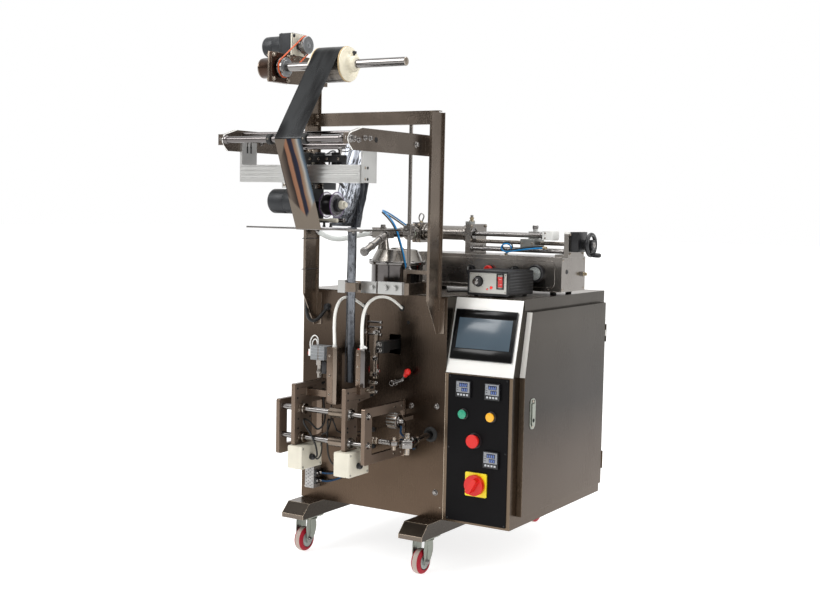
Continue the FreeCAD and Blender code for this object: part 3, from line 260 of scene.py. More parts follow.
# A darker copy of chrome for rods, rings, the roller and the drum: painted shade.
CHROME_SHADED = surface("chrome_painted_shade", "#6a6665", 0.15, 1.0, None, 0.04, 16.0, 0.04, "#a3978d", micro=0.000004)
BRONZE = surface("bronze", "#7d7165", 0.24, 1.0, None, 0.10, 18.0, 0.06, "#b3a698")
ALUMINIUM = surface("aluminium", "#c6c6c4", 0.34, 0.85, "x", 0.05, 6.0, 0.05, "#e4e4e1", grain_depth=0.000006,
                    grain_tone=0.02)
ALU_DARK = surface("cast_aluminium", "#8e8f8c", 0.40, 0.85, None, 0.07, 18.0, 0.06, "#c7c8c4", micro=0.00002)
ZINC = surface("zinc_plate", "#8f938a", 0.32, 0.90, None, 0.08, 20.0, 0.06, "#c2c5bd", micro=0.00002)
BOLT = surface("bolt_steel", "#a79c8f", 0.28, 1.0, None, 0.12, 40.0, 0.07, "#dcd3c8")
BLACK_PLATE = surface("control_black", "#0b0a0c", 0.48, 0.0, None, 0.10, 6.0, 0.04, "#232125", micro=0.00002, ior=1.2)
BLACK = surface("black_moulded", "#17171a", 0.36, 0.0, None, 0.15, 20.0, 0.06, "#3a3a3e", micro=0.00004, coat=0.15)
BLACK_PAINT = surface("black_paint", "#151515", 0.42, 0.1, None, 0.15, 22.0, 0.07, "#55524e", micro=0.00006)
CHARCOAL = surface("charcoal_paint", "#26282b", 0.44, 0.2, None, 0.14, 20.0, 0.07, "#5c5e60", micro=0.00006)
GREY_MOULDED = surface("controller_grey", "#8e9196", 0.42, 0.0, None, 0.06, 24.0, 0.05, "#b9bbbe", micro=0.00004)
IVORY = surface("ivory_moulded", "#d8d3c3", 0.40, 0.0, None, 0.05, 24.0, 0.05, "#efebdf", micro=0.00004, coat=0.1)
CREAM = surface("cream_nylon", "#e4ddc8", 0.42, 0.0, None, 0.06, 24.0, 0.05, "#f4efdf", micro=0.00004)
TAN_RIM = surface("tan_rim", "#c0a67c", 0.45, 0.0, None, 0.10, 30.0, 0.05, "#d8c49d", micro=0.00004)
GREEN = surface("green_cap", "#2a9a78", 0.28, 0.0, None, 0.06, 30.0, 0.04, "#5cbf9f", coat=0.3)
YELLOW = surface("yellow_cap", "#f4b021", 0.28, 0.0, None, 0.05, 30.0, 0.04, "#ffd26a", coat=0.3)
RED = surface("red_moulded", "#d41a12", 0.34, 0.0, None, 0.05, 30.0, 0.04, "#e8452f", coat=0.1)
YELLOW_PLATE = surface("yellow_plate", "#f2dd1e", 0.36, 0.0, None, 0.04, 20.0, 0.04, "#fff07a", coat=0.15)
RED_TYRE = surface("red_tyre", "#9c1226", 0.50, 0.0, None, 0.08, 26.0, 0.05, "#b83a4c", micro=0.00006, ior=1.35)
TREAD = surface("grey_tread", "#b3a39a", 0.55, 0.0, None, 0.12, 26.0, 0.07, "#d2c6be", micro=0.00008)
BELT = surface("orange_belt", "#c9531e", 0.48, 0.0, None, 0.12, 40.0, 0.06, "#e2834f", micro=0.00004)
RUBBER = surface("black_rubber", "#1a1a1a", 0.62, 0.0, None, 0.15, 40.0, 0.06, "#383838", micro=0.00008)
GLOSS_BLACK = surface("gloss_black", "#070708", 0.16, 0.0, None, 0.10, 12.0, 0.04, "#1c1c1f", ior=1.35)
NAVY = surface("navy_window", "#1b2745", 0.18, 0.0, None, 0.12, 40.0, 0.04, None, coat=0.5)
WHITE = surface("white_moulded", "#e9e9e6", 0.42, 0.0, None, 0.04, 24.0, 0.05, "#fafaf8", micro=0.00004)
BLUE_HOSE = surface("blue_line", "#1580bf", 0.34, 0.0, None, 0.10, 30.0, 0.05, None, ior=1.35)
BLACK_HOSE = surface("black_line", "#141414", 0.40, 0.0, None, 0.12, 40.0, 0.06, None)
BRASS = surface("brass", "#978a72", 0.28, 1.0, None, 0.10, 40.0, 0.07, "#cdc2a5")
PURPLE = surface("purple_rim", "#5b3a6b", 0.34, 0.0, None, 0.10, 30.0, 0.05, None)
# Near-black fill for holes, recesses, slots and gaps: painted shade.
HOLE_SHADE = surface("painted_hole_shade", "#050505", 0.80, 0.0, None, 0.10, 30.0, 0.05, None)
LED = surface("red_led", "#d01818", 0.30, 0.0, None, 0.05, 40.0, 0.03, None, emission="#ff2a1a", emission_strength=1.2)


# ---------------------------------------------------------------- painting carried-over nodes
def islands(mesh):
    """Each polygon's solid, found by shared corner positions, as a list of (low, high) in working millimetres."""
    keys = {}
    ids = []
    for v in mesh.vertices:
        key = (round(v.co.x, 6), round(v.co.y, 6), round(v.co.z, 6))
        ids.append(keys.setdefault(key, len(keys)))
    parent = list(range(len(keys)))

    def root(a):
        while parent[a] != a:
            parent[a] = parent[parent[a]]
            a = parent[a]
        return a

    for polygon in mesh.polygons:
        first = root(ids[polygon.vertices[0]])
        for v in polygon.vertices[1:]:
            parent[root(ids[v])] = first
    spans = {}
    owner = []
    for polygon in mesh.polygons:
        key = root(ids[polygon.vertices[0]])
        owner.append(key)
        for v in polygon.vertices:
            co = mesh.vertices[v].co / MM - SHIFT
            low, high = spans.setdefault(key, (co.copy(), co.copy()))
            for k in range(3):
                low[k] = min(low[k], co[k])
                high[k] = max(high[k], co[k])
    return [spans[key] for key in owner]


def paint(node, default, *rules):
    """Gives a CAD node its materials. A rule is (test(centre, normal, low, high), material)."""
    mesh = NODES[node].data
    mesh.materials.clear()
    slots = [default] + [material for _, material in rules]
    for material in slots:
        mesh.materials.append(material)
    solids = islands(mesh) if rules else []
    for index, polygon in enumerate(mesh.polygons):
        polygon.material_index = 0
        if rules:
            low, high = solids[index]
            centre = polygon.center / MM - SHIFT
            for k, (test, _) in enumerate(rules):
                if test(centre, polygon.normal, low, high):
                    polygon.material_index = k + 1
                    break


# ---------------------------------------------------------------- mesh building
def soft(profile, r):
    """A lathe profile with its corners rounded by two extra points each."""
    out = [profile[0]]
    for a, b, c in zip(profile, profile[1:], profile[2:]):
        va, vc = Vector(a) - Vector(b), Vector(c) - Vector(b)
        if va.length < 1e-9 or vc.length < 1e-9:
            continue
        k = min(r, va.length * 0.45, vc.length * 0.45)
        start, end = Vector(b) + va.normalized() * k, Vector(b) + vc.normalized() * k
        middle = (start + end + Vector(b) * 1.4) / 3.4
        out += [tuple(start), tuple(middle), tuple(end)]
    out.append(profile[-1])
    return out


def turns(count):
    """Angles spread evenly once round."""
    return [2 * math.pi * k / count for k in range(count)]


def circle(bm, centre, side, other, radius, seg):
    """New vertices round a centre, in the plane of two unit vectors."""
    return [bm.verts.new(centre + (side * math.cos(t) + other * math.sin(t)) * radius) for t in turns(seg)]


def smooth_line(points, steps=8, closed=False):
    """Points on a Catmull-Rom curve through the given ones."""
    pts = [Vector(p) for p in points]
    count = len(pts)
    out = []
    for i in range(count if closed else count - 1):
        p1, p2 = pts[i], pts[(i + 1) % count]
        p0 = pts[i - 1] if closed or i > 0 else p1 * 2 - p2
        p3 = pts[(i + 2) % count] if closed or i + 2 < count else p2 * 2 - p1
        for k in range(steps):
            t = k / steps
            out.append(0.5 * ((2 * p1) + (p2 - p0) * t + (2 * p0 - 5 * p1 + 4 * p2 - p3) * t * t
                              + (3 * p1 - p0 - 3 * p2 + p3) * t * t * t))
    if not closed:
        out.append(pts[-1])
    return out


class Piece:
    """One shown piece, built from many shapes in working millimetres."""

    def __init__(self, name, body="cabinet", slot=None):
        self.name, self.body, self.slot = name, body, slot
        self.bm = bmesh.new()
        self.mats = []

    def index(self, material):
        if material not in self.mats:
            self.mats.append(material)
        return self.mats.index(material)

    def take(self, other, material, matrix=None):
        k = self.index(material)
        if matrix is not None:
            other.transform(matrix)
        for face in other.faces:
            face.material_index = k
        mesh = bpy.data.meshes.new("scratch")
        other.to_mesh(mesh)
        other.free()
        self.bm.from_mesh(mesh)
        bpy.data.meshes.remove(mesh)
        return self

    def box(self, x, y, z, material, r=0.8, seg=2, matrix=None):
        b = bmesh.new()
        bmesh.ops.create_cube(b, size=1.0)
        size = Vector((x[1] - x[0], y[1] - y[0], z[1] - z[0]))
        middle = Vector((x[0] + x[1], y[0] + y[1], z[0] + z[1])) / 2
        b.transform(Matrix.Translation(middle) @ Matrix.Diagonal((*size, 1.0)))
        if r:
            bmesh.ops.bevel(b, geom=b.edges[:], offset=min(r, min(size) * 0.4), segments=seg, affect="EDGES",
                            profile=0.6)
        return self.take(b, material, matrix)

    def prism(self, axis, outline, start, end, material, r=0.5, seg=2, matrix=None):
        """A flat outline pushed along an axis, with its edges rounded."""
        b = bmesh.new()
        order = {"x": lambda s, p: (s, p[0], p[1]), "y": lambda s, p: (p[0], s, p[1]), "z": lambda s,
                 p: (p[0], p[1], s)}[axis]
        low = [b.verts.new(order(start, p)) for p in outline]
        high = [b.verts.new(order(end, p)) for p in outline]
        b.faces.new(low)
        b.faces.new(high[::-1])
        for i in range(len(outline)):
            j = (i + 1) % len(outline)
            b.faces.new((low[i], high[i], high[j], low[j]))
        bmesh.ops.recalc_face_normals(b, faces=b.faces[:])
        if r:
            sharp = [e for e in b.edges if len(e.link_faces) == 2 and e.calc_face_angle(0) > 0.5]
            bmesh.ops.bevel(b, geom=sharp, offset=r, segments=seg, affect="EDGES", profile=0.6, clamp_overlap=True)
        return self.take(b, material, matrix)

    def lathe(self, start, direction, profile, material, seg=40, r=0.5, matrix=None):
        """A turned shape: profile is (distance along, radius) from start along direction."""
        b = bmesh.new()
        d = Vector(direction).normalized()
        side = d.orthogonal().normalized()
        other = d.cross(side)
        rings = []
        for along, radius in (soft(profile, r) if r else profile):
            centre = Vector(start) + d * along
            if radius < 1e-6:
                rings.append([b.verts.new(centre)])
                continue
            rings.append(circle(b, centre, side, other, radius, seg))
        for a, c in zip(rings, rings[1:]):
            for k in range(seg):
                j = (k + 1) % seg
                if len(a) == 1 and len(c) == 1:
                    continue
                if len(a) == 1:
                    b.faces.new((a[0], c[k], c[j]))
                elif len(c) == 1:
                    b.faces.new((a[k], c[0], a[j]))
                else:
                    b.faces.new((a[k], c[k], c[j], a[j]))
        for ring in (rings[0], rings[-1]):
            if len(ring) > 1:
                b.faces.new(ring)
        bmesh.ops.recalc_face_normals(b, faces=b.faces[:])
        return self.take(b, material, matrix)

    def tube(self, points, radius, material, seg=12, closed=False, steps=8):
        """A round line through the points. radius may be a number or one per point."""
        line = smooth_line(points, steps, closed) if steps else [Vector(p) for p in points]
        if isinstance(radius, (int, float)):
            radii = [radius] * len(line)
        else:
            radii = [radius[min(i // max(steps, 1), len(radius) - 1)] for i in range(len(line))]
        return self.tube_exact(line, radii, material, seg, closed)

    def ribbed(self, points, radius, pitch, depth, material, seg=16):
        """A corrugated tube: its radius swells at each rib."""
        line = smooth_line(points, 24)
        total = sum((b - a).length for a, b in zip(line, line[1:]))
        count = int(total / pitch)
        fine = []
        travelled, k = 0.0, 0
        marks = [total * i / (count * 4) for i in range(count * 4 + 1)]
        for a, b in zip(line, line[1:]):
            step = (b - a).length
            while k < len(marks) and marks[k] <= travelled + step + 1e-9:
                fine.append(a.lerp(b, (marks[k] - travelled) / step if step else 0))
                k += 1
            travelled += step
        radii = [radius + (depth if i % 4 in (1, 2) else 0.0) for i in range(len(fine))]
        return self.tube_exact(fine, radii, material, seg)

    def tube_exact(self, line, radii, material, seg=12, closed=False):
        """A round line straight from point to point, with one radius for each."""
        b = bmesh.new()
        rings, side = [], None
        count = len(line)
        for i, p in enumerate(line):
            ahead = line[(i + 1) % count] if closed or i + 1 < count else p
            behind = line[i - 1] if closed or i > 0 else p
            d = (ahead - behind).normalized()
            side = d.orthogonal().normalized() if side is None else (side - d * side.dot(d)).normalized()
            rings.append(circle(b, p, side, d.cross(side), radii[i], seg))
        for a, c in list(zip(rings, rings[1:])) + ([(rings[-1], rings[0])] if closed else []):
            for k in range(seg):
                j = (k + 1) % seg
                b.faces.new((a[k], c[k], c[j], a[j]))
        if not closed:
            b.faces.new(rings[0])
            b.faces.new(rings[-1])
        bmesh.ops.recalc_face_normals(b, faces=b.faces[:])
        return self.take(b, material)

    def hex_bolt(self, at_point, direction, across, height, material, washer=True):
        """A hexagon head with a chamfered top and a washer under it."""
        d = Vector(direction).normalized()
        p = Vector(at_point)
        if washer:
            self.lathe(p, d, [(0, across * 0.72), (across * 0.12, across * 0.72), (across * 0.12, across * 0.3)],
                       material, 24, 0.2)
            p = p + d * across * 0.12
        self.lathe(p, d, [(0, across * 0.577), (height * 0.8, across * 0.577), (height, across * 0.47), (height, 0.0)],
                   material, 6, 0.0)
        return self

    def socket_screw(self, at_point, direction, radius, height, material):
        """A cap screw with a hexagon recess."""
        d = Vector(direction).normalized()
        p = Vector(at_point)
        self.lathe(p, d, [(0, radius), (height, radius), (height, radius * 0.56)], material, 24, radius * 0.15)
        # The hexagon recess is a near-black plug: painted shade.
        self.lathe(p + d * (height - radius * 0.5), d, [(0, 0.0), (0, radius * 0.56), (radius * 0.5, radius * 0.56)],
                   HOLE_SHADE, 6, 0.0)
        return self

    def pan_screw(self, at_point, direction, radius, material):
        """A domed screw with a cross recess."""
        d = Vector(direction).normalized()
        p = Vector(at_point)
        self.lathe(p, d,
                   [(0, radius), (radius * 0.25, radius * 0.97), (radius * 0.5, radius * 0.7), (radius * 0.6, 0.0)],
                   material, 20, 0.0)
        side = d.orthogonal().normalized()
        other = d.cross(side)
        # The cross recess is two near-black bars: painted shade.
        for u, v in ((side, other), (other, side)):
            turn = Matrix((u, v, d)).transposed().to_4x4()
            turn.translation = p + d * radius * 0.52
            self.box((-radius * 0.55, radius * 0.55), (-radius * 0.09, radius * 0.09), (-radius * 0.1, radius * 0.12),
                     HOLE_SHADE, 0, 1, turn)
        return self

    def done(self, *replaces, sharp=32.0):
        mesh = bpy.data.meshes.new(self.name)
        self.bm.transform(Matrix.Diagonal((MM, MM, MM, 1.0)) @ Matrix.Translation(SHIFT))
        self.bm.to_mesh(mesh)
        self.bm.free()
        for material in self.mats:
            mesh.materials.append(material)
        mesh.shade_smooth()
        mesh.set_sharp_from_angle(angle=math.radians(sharp))
        obj = bpy.data.objects.new(self.name, mesh)
        bpy.context.scene.collection.objects.link(obj)
        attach(obj, self.body)
        if replaces:
            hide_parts(*replaces)
        return obj


def set_stops(ramp, stops):
    """Fill a colour ramp from (position, colour) pairs that run from 0 to 1."""
    band = ramp.color_ramp.elements
    band[0].position, band[1].position = 0.0, 1.0
    band[0].color, band[1].color = stops[0][1], stops[-1][1]
    for place, colour in stops[1:-1]:
        band.new(place).color = colour


def paint_reflection_by_height(material, axis, stops):
    """Paint reflection and shade into a material's colour by height (or along another axis): stops are (metres,
    colour).
    """
    tree = material.node_tree
    socket = tree.nodes["Principled BSDF"].inputs["Base Color"]
    source = socket.links[0].from_socket
    parts = tree.nodes.new("ShaderNodeSeparateXYZ")
    tree.links.new(tree.nodes.new("ShaderNodeTexCoord").outputs["Object"], parts.inputs[0])
    spread = tree.nodes.new("ShaderNodeMapRange")
    spread.inputs["From Min"].default_value = stops[0][0]
    spread.inputs["From Max"].default_value = stops[-1][0]
    tree.links.new(parts.outputs[axis], spread.inputs["Value"])
    ramp = tree.nodes.new("ShaderNodeValToRGB")
    span = stops[-1][0] - stops[0][0]
    set_stops(ramp, [((place - stops[0][0]) / span, (*colour, 1.0)) for place, colour in stops])
    tree.links.new(spread.outputs[0], ramp.inputs["Fac"])
    blend = tree.nodes.new("ShaderNodeMix")
    blend.data_type = "RGBA"
    blend.blend_type = "MULTIPLY"
    blend.clamp_result = False
    blend.inputs[0].default_value = 1.0
    tree.links.new(source, blend.inputs[6])
    tree.links.new(ramp.outputs["Color"], blend.inputs[7])
    tree.links.new(blend.outputs[2], socket)


# Painted reflection and shade on the cabinet's panels: darker through the middle, lighter near the foot and the top.
paint_reflection_by_height(PANEL, "Z",
     ((0.163, (0.98, 0.86, 0.74)), (0.36, (0.80, 0.70, 0.60)), (0.52, (0.42, 0.37, 0.33)), (0.68, (0.46, 0.42, 0.38)),
                  (0.80, (0.95, 0.90, 0.84)), (0.87, (1.0, 0.96, 0.92))))
paint_reflection_by_height(PANEL_SIDE, "Z",
     ((0.163, (0.66, 0.56, 0.45)), (0.36, (0.46, 0.38, 0.31)), (0.52, (0.17, 0.15, 0.13)), (0.64, (0.26, 0.25, 0.23)),
                       (0.78, (0.42, 0.43, 0.41)), (0.87, (0.36, 0.37, 0.35))))

# A darker copy of the beam steel: painted shade on the beams' slanted faces and ends.
BEAM_SHADED_FACES = surface("beam_painted_shade", "#3f3933", 0.26, 0.95, "y", 0.06, 6.0, 0.05, "#c9bfb4", grain_tone=0.02)
LIT_EDGE = surface("lit_edge", "#efece6", 0.42, 0.15, None, 0.01, 3.0, 0.03, "#fbfaf7")

# A paler, less glossy copy of the jaw steel for faces turned to +x: painted light.
JAW_PAINTED_LIGHT = surface("jaw_painted_light_faces", "#7b6c60", 0.42, 0.55, "y", 0.05, 12.0, 0.05, "#b09b88", grain_depth=0.000004,
                   grain_tone=0.015)
BLUE_DIM = surface("blue_line_in_shade", "#123a5c", 0.40, 0.0, None, 0.10, 30.0, 0.05, None, ior=1.3)


# ---------------------------------------------------------------- studio
def studio():
    """A world that is white to the camera and partly grey in reflections, a white floor and three soft lights."""
    bpy.context.scene.view_settings.view_transform = "Standard"
    world = bpy.data.worlds.new("studio")
    world.use_nodes = True
    tree = world.node_tree
    back = tree.nodes["Background"]
    back.inputs["Strength"].default_value = 1.0
    source = tree.nodes.new("ShaderNodeTexCoord")
    ahead = tree.nodes.new("ShaderNodeVectorMath")
    ahead.operation = "DOT_PRODUCT"
    ahead.inputs[1].default_value = (-0.52, 0.85, 0.0)
    tree.links.new(source.outputs["Generated"], ahead.inputs[0])
    parts = tree.nodes.new("ShaderNodeSeparateXYZ")
    tree.links.new(source.outputs["Generated"], parts.inputs[0])
    levels = []
    for value, low, high in ((ahead.outputs["Value"], 0.35, 0.75), (parts.outputs["Z"], 0.30, 0.62)):
        node = tree.nodes.new("ShaderNodeMapRange")
        node.interpolation_type = "SMOOTHSTEP"
        node.inputs["From Min"].default_value = low
        node.inputs["From Max"].default_value = high
        tree.links.new(value, node.inputs["Value"])
        levels.append(node.outputs[0])
    brighter = tree.nodes.new("ShaderNodeMath")
    brighter.operation = "MAXIMUM"
    tree.links.new(levels[0], brighter.inputs[0])
    tree.links.new(levels[1], brighter.inputs[1])
    mix = tree.nodes.new("ShaderNodeMix")
    mix.data_type = "RGBA"
    seen = tree.nodes.new("ShaderNodeMath")
    seen.operation = "MAXIMUM"
    tree.links.new(brighter.outputs[0], seen.inputs[0])
    tree.links.new(tree.nodes.new("ShaderNodeLightPath").outputs["Is Camera Ray"], seen.inputs[1])
    tree.links.new(seen.outputs[0], mix.inputs[0])
    mix.inputs[6].default_value = (0.30, 0.29, 0.28, 1.0)
    mix.inputs[7].default_value = (1.0, 1.0, 1.0, 1.0)
    tree.links.new(mix.outputs[2], back.inputs["Color"])
    bpy.context.scene.world = world
    mesh = bpy.data.meshes.new("floor")
    mesh.from_pydata([(-40, -40, 0), (40, -40, 0), (40, 40, 0), (-40, 40, 0)], [], [(0, 1, 2, 3)])
    floor = bpy.data.objects.new("floor", mesh)
    floor.data.materials.append(surface("floor_white", "#b9b9b8", 0.8, tone=0.01, patch=0.5, emission="#ffffff",
                                        emission_strength=0.80))
    bpy.context.scene.collection.objects.link(floor)
    softbox("key", (-1.6, -2.6, 3.2), (0, 0, 0.9), 1.6, 2.2, 70)
    softbox("side", (3.4, 0.6, 2.4), (0.2, 0.1, 0.7), 1.4, 2.0, 40)
    softbox("top", (0.2, 0.4, 3.6), (0, 0, 1.0), 2.2, 2.2, 45)


def softbox(name, place, target, width, height, power):
    """A rectangular area light aimed at a target."""
    light = bpy.data.lights.new(name, "AREA")
    light.shape = "RECTANGLE"
    light.size, light.size_y, light.energy = width, height, power
    lamp = bpy.data.objects.new(name, light)
    lamp.location = place
    lamp.rotation_mode = "QUATERNION"
    lamp.rotation_quaternion = (Vector(target) - Vector(place)).to_track_quat("-Z", "Y")
    bpy.context.scene.collection.objects.link(lamp)


studio()


# ---------------------------------------------------------------- materials on the CAD nodes
def facing(axis, sign=0):
    """True for faces along an axis, on one side of it when a sign is given."""
    def test(c, n, low, high):
        return abs(n[axis]) > 0.9 if not sign else n[axis] * sign > 0.9
    return test


def inside(x=(-1e4, 1e4), y=(-1e4, 1e4), z=(-1e4, 1e4)):
    """True for faces of a solid whose whole box lies in this range."""
    def test(c, n, low, high):
        return (x[0] <= low.x and high.x <= x[1] and y[0] <= low.y and high.y <= y[1]
                and z[0] <= low.z and high.z <= z[1])
    return test


CLEAR_RIM = surface("clear_flange", "#eeecf2", 0.10, 0.0, None, 0.03, 30.0, 0.03, None, transmission=0.9, ior=1.3)


def paint_all():
    """Gives every CAD node its materials."""
    # The beams' slanted front faces and their ends take a darker copy of the steel: painted shade.
    paint("foot_beams", BEAM_STEEL, (inside(z=(90, 116.5)), ZINC),
          (lambda c, n, lo, hi: n.y < -0.3 and n.z > 0.3, BEAM_SHADED_FACES),
          (lambda c, n, lo, hi: abs(n.x) > 0.8, BEAM_SHADED_FACES))
    for node in ("caster_fork_left", "caster_fork_right", "rear_forks"):
        paint(node, ZINC)
    for node in ("wheel_front_left", "wheel_front_right", "wheel_rear_left", "wheel_rear_right"):
        paint(node, RED_TYRE)
    paint("front_panel", PANEL, (inside(y=(-4.5, 0.5), z=(400, 460)), RUBBER), (inside(y=(-4.5, 0.5)), BOLT))
    paint("body_panels", PANEL_SIDE, (inside(y=(600, 700), z=(210, 250)), BLACK))
    # The lid's flat faces are lighter than its upright edges: painted light on the top.
    paint("top_lid", LID_PAINTED_LIGHT, (lambda c, n, lo, hi: abs(n.z) < 0.5, PANEL_SIDE))
    paint("control_frame", MARGIN, (lambda c, n, lo, hi: n.x > 0.5 or n.x < -0.5 or c.y > 4, PANEL_SIDE))
    paint("control_plate", BLACK_PLATE)
    # The chrome ring round the buttons takes the darker chrome: painted shade.
    paint("panel_fittings", GREY_MOULDED, (inside(z=(245, 340)), YELLOW_PLATE),
          (inside(x=(640, 676), z=(410, 444)), RED), (inside(z=(485, 530)), CHROME_SHADED))
    paint("green_button", GREEN)
    paint("yellow_button", YELLOW)
    paint("estop_button", RED)
    paint("switch_knob", RED)
    paint("hmi_bezel", POLISHED)
    paint("hmi_screen", GLOSS_BLACK)
    paint("side_door", PANEL_SIDE, (inside(y=(80, 120), z=(460, 565)), ZINC),
          (lambda c, n, lo, hi: n.y < -0.5 and c.z > 628, LIT_EDGE),
          (lambda c, n, lo, hi: n.y < -0.9 and c.y < 60, MARGIN))
    paint("door_latch", ZINC)
    paint("inner_drive", CHARCOAL)
    paint("upper_frame", FRAME_STEEL)
    paint("roller_arms", ARM_STEEL, (inside(x=(49, 499), z=(1300, 1352)), CHROME_SHADED))
    paint("alu_frame", ALUMINIUM)
    paint("front_roller", CHROME_SHADED, (inside(x=(214, 229)), RUBBER), (inside(x=(340, 355)), RUBBER))
    paint("roll_arm", FRAME_STEEL)
    paint("unwind_shaft", CHROME, (inside(x=(200, 250)), CREAM), (inside(x=(336, 375)), CREAM))
    paint("film_roll", CHARCOAL)
    paint("drive_motor", CHARCOAL, (inside(x=(70, 78.5)), IVORY), (inside(x=(77, 82)), BOLT))
    paint("motor_pulley", ALU_DARK)
    paint("drive_belt", BELT)
    paint("film_web", CHARCOAL)
    paint("forming_plate", BRIGHT, (inside(x=(370, 500), y=(5, 35)), FRAME_STEEL))
    paint("forming_strap", FRAME_STEEL, (inside(y=(-140, -111)), ALUMINIUM))
    paint("date_coder", CHARCOAL)
    paint("ribbon_spool", BLACK, (lambda c, n, lo, hi: math.hypot(c.y + 300, c.z - 1140) > 21.6, CLEAR_RIM))
    # Faces turned to +x take the paler copy of the jaw steel: painted light.
    paint("jaw_frame", JAW_STEEL, (inside(y=(-218, -198)), CHROME), (facing(0, 1), JAW_PAINTED_LIGHT))
    paint("left_jaw", JAW_STEEL, (inside(z=(300, 389), y=(-251, -143)), IVORY), (facing(0, 1), JAW_PAINTED_LIGHT))
    paint("right_jaw", JAW_STEEL, (inside(z=(300, 389), y=(-251, -143)), IVORY), (facing(0, 1), JAW_PAINTED_LIGHT))
    paint("push_rod", CHROME)
    paint("puller", JAW_STEEL, (lambda c, n, lo, hi: c.x > 341 and 684 < c.z < 723.5 and hi.z - lo.z > 50, BLACK_PAINT))
    paint("clutch_lever", CHROME, (lambda c, n, lo, hi: c.x > 417 and c.z > 611, RED))
    paint("filler_housing", BRIGHT, (inside(z=(863, 877)), RUBBER), (inside(x=(689, 733), y=(270, 291)), WHITE))
    paint("filler_left_dial", BLACK)
    paint("filler_right_dial", BLACK)
    paint("filler_stop_button", RED)
    paint("filler_barrel", BRIGHT, (inside(x=(819, 850)), BLACK_PAINT), (inside(x=(457, 805), z=(997, 1013)), CHROME))
    paint("filler_piston", CHROME, (lambda c, n, lo, hi: 721 < c.x < 759, WHITE))
    paint("filler_stop", ALUMINIUM)
    paint("handwheel", BLACK_PAINT, (lambda c, n, lo, hi: c.x < 849, CHROME))
    paint("drum", CHROME_SHADED, (inside(z=(950, 1000)), BRIGHT_Z))
    paint("power_box", BLACK_PAINT, (inside(z=(863, 871)), RUBBER))
    paint("power_knob", BLACK)
    paint("power_rocker", RED)
    paint("air_hoses", BLUE_HOSE)
    paint("product_hose", WHITE)
    paint("heater_sleeves", WHITE)
    paint("conduit", BLACK_HOSE)


paint_all()


# ---------------------------------------------------------------- cables and hoses
def spline_points(route, steps=10):
    """Points of the NURBS line that has the route as its control points, in working millimetres."""
    curve = bpy.data.curves.new("scratch", "CURVE")
    curve.dimensions = "3D"
    spline = curve.splines.new("NURBS")
    spline.points.add(len(route) - 1)
    for point, place in zip(spline.points, route):
        point.co = (*place, 1.0)
    spline.order_u = 3
    spline.use_endpoint_u = True
    spline.resolution_u = steps
    holder = bpy.data.objects.new("scratch", curve)
    bpy.context.scene.collection.objects.link(holder)
    mesh = bpy.data.meshes.new_from_object(holder)
    points = [v.co.copy() for v in mesh.vertices]
    bpy.data.objects.remove(holder)
    bpy.data.meshes.remove(mesh)
    bpy.data.curves.remove(curve)
    return points


def hose(name, route, diameter, material, body="cabinet", replaces=(), resolution=12):
    """A smooth round hose whose NURBS control points are the route, in working millimetres."""
    curve = bpy.data.curves.new(name, "CURVE")
    curve.dimensions = "3D"
    spline = curve.splines.new("NURBS")
    spline.points.add(len(route) - 1)
    for point, place in zip(spline.points, route):
        point.co = (*at(place), 1.0)
    spline.order_u = 3
    spline.use_endpoint_u = True
    curve.bevel_depth = diameter / 2 * MM
    curve.bevel_resolution = 4
    curve.resolution_u = resolution
    curve.use_fill_caps = True
    curve.materials.append(material)
    obj = bpy.data.objects.new(name, curve)
    bpy.context.scene.collection.objects.link(obj)
    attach(obj, body)
    if replaces:
        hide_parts(*replaces)
    return obj


SLEEVE = surface("fibre_sleeve", "#f0efe9", 0.75, 0.0, "z", 0.05, 60.0, 0.05, None, grain_tone=0.05, sheen=0.3)
CLEAR = surface("clear_plastic", "#dfe3e2", 0.12, 0.0, None, 0.04, 30.0, 0.04, None, transmission=0.75, ior=1.49)
GREY_VALVE = surface("valve_grey", "#85888a", 0.40, 0.1, None, 0.10, 40.0, 0.06, "#b5b8ba", micro=0.00004)
PERFORATED = surface("perforated_block", "#a9a7a5", 0.38, 0.8, None, 0.22, 90.0, 0.10, "#dddad6", micro=0.0003,
                     micro_scale=420)


def terminal_box(name, body, x, y, z, gland_z):
    """Ivory terminal box with its lid seam, corner screws and gland, over the CAD block."""
    p = Piece(name, body, "jaw_steel")
    p.box((x[0] - 0.5, x[1] - 13), (y[0] - 0.5, y[1] + 0.5), (z[0] - 0.5, z[1] + 0.5), IVORY, 3.0, 3)
    # A near-black sheet in the lid seam: painted shade.
    p.box((x[1] - 13.6, x[1] - 12.6), (y[0] + 0.6, y[1] - 0.6), (z[0] + 0.6, z[1] - 0.6), HOLE_SHADE, 2.5, 2)
    p.box((x[1] - 12.4, x[1] + 0.6), (y[0] - 0.5, y[1] + 0.5), (z[0] - 0.5, z[1] + 0.5), IVORY, 3.0, 3)
    for yy in (y[0] + 7, y[1] - 7):
        for zz in (z[0] + 7, z[1] - 7):
            p.lathe((x[1] + 0.2, yy, zz), (1, 0, 0), [(0, 3.6), (0.9, 3.4), (0.9, 2.6), (0.3, 2.4), (0.3, 0)],
                    CHARCOAL, 18, 0.1)
            # A near-black slot in each screw: painted shade.
            p.box((x[1] + 0.4, x[1] + 0.9), (yy - 2.2, yy + 2.2), (zz - 0.4, zz + 0.4), HOLE_SHADE, 0)
    for zz in (z[0] + 24, z[0] + 36, z[0] + 48):
        p.box((x[0] - 0.9, x[0] - 0.3), (y[0] + 12, y[1] - 12), (zz, zz + 1.2), IVORY, 0.3)
    yy = (y[0] + y[1]) / 2 - 6
    p.lathe((x[1] + 0.4, yy, gland_z), (1, 0, 0),
            [(0, 9.5), (3, 9.5), (3, 8), (5, 8), (5, 10), (12, 9.0), (15, 5.5), (15, 0)], BLACK, 12, 0.4)
    return p


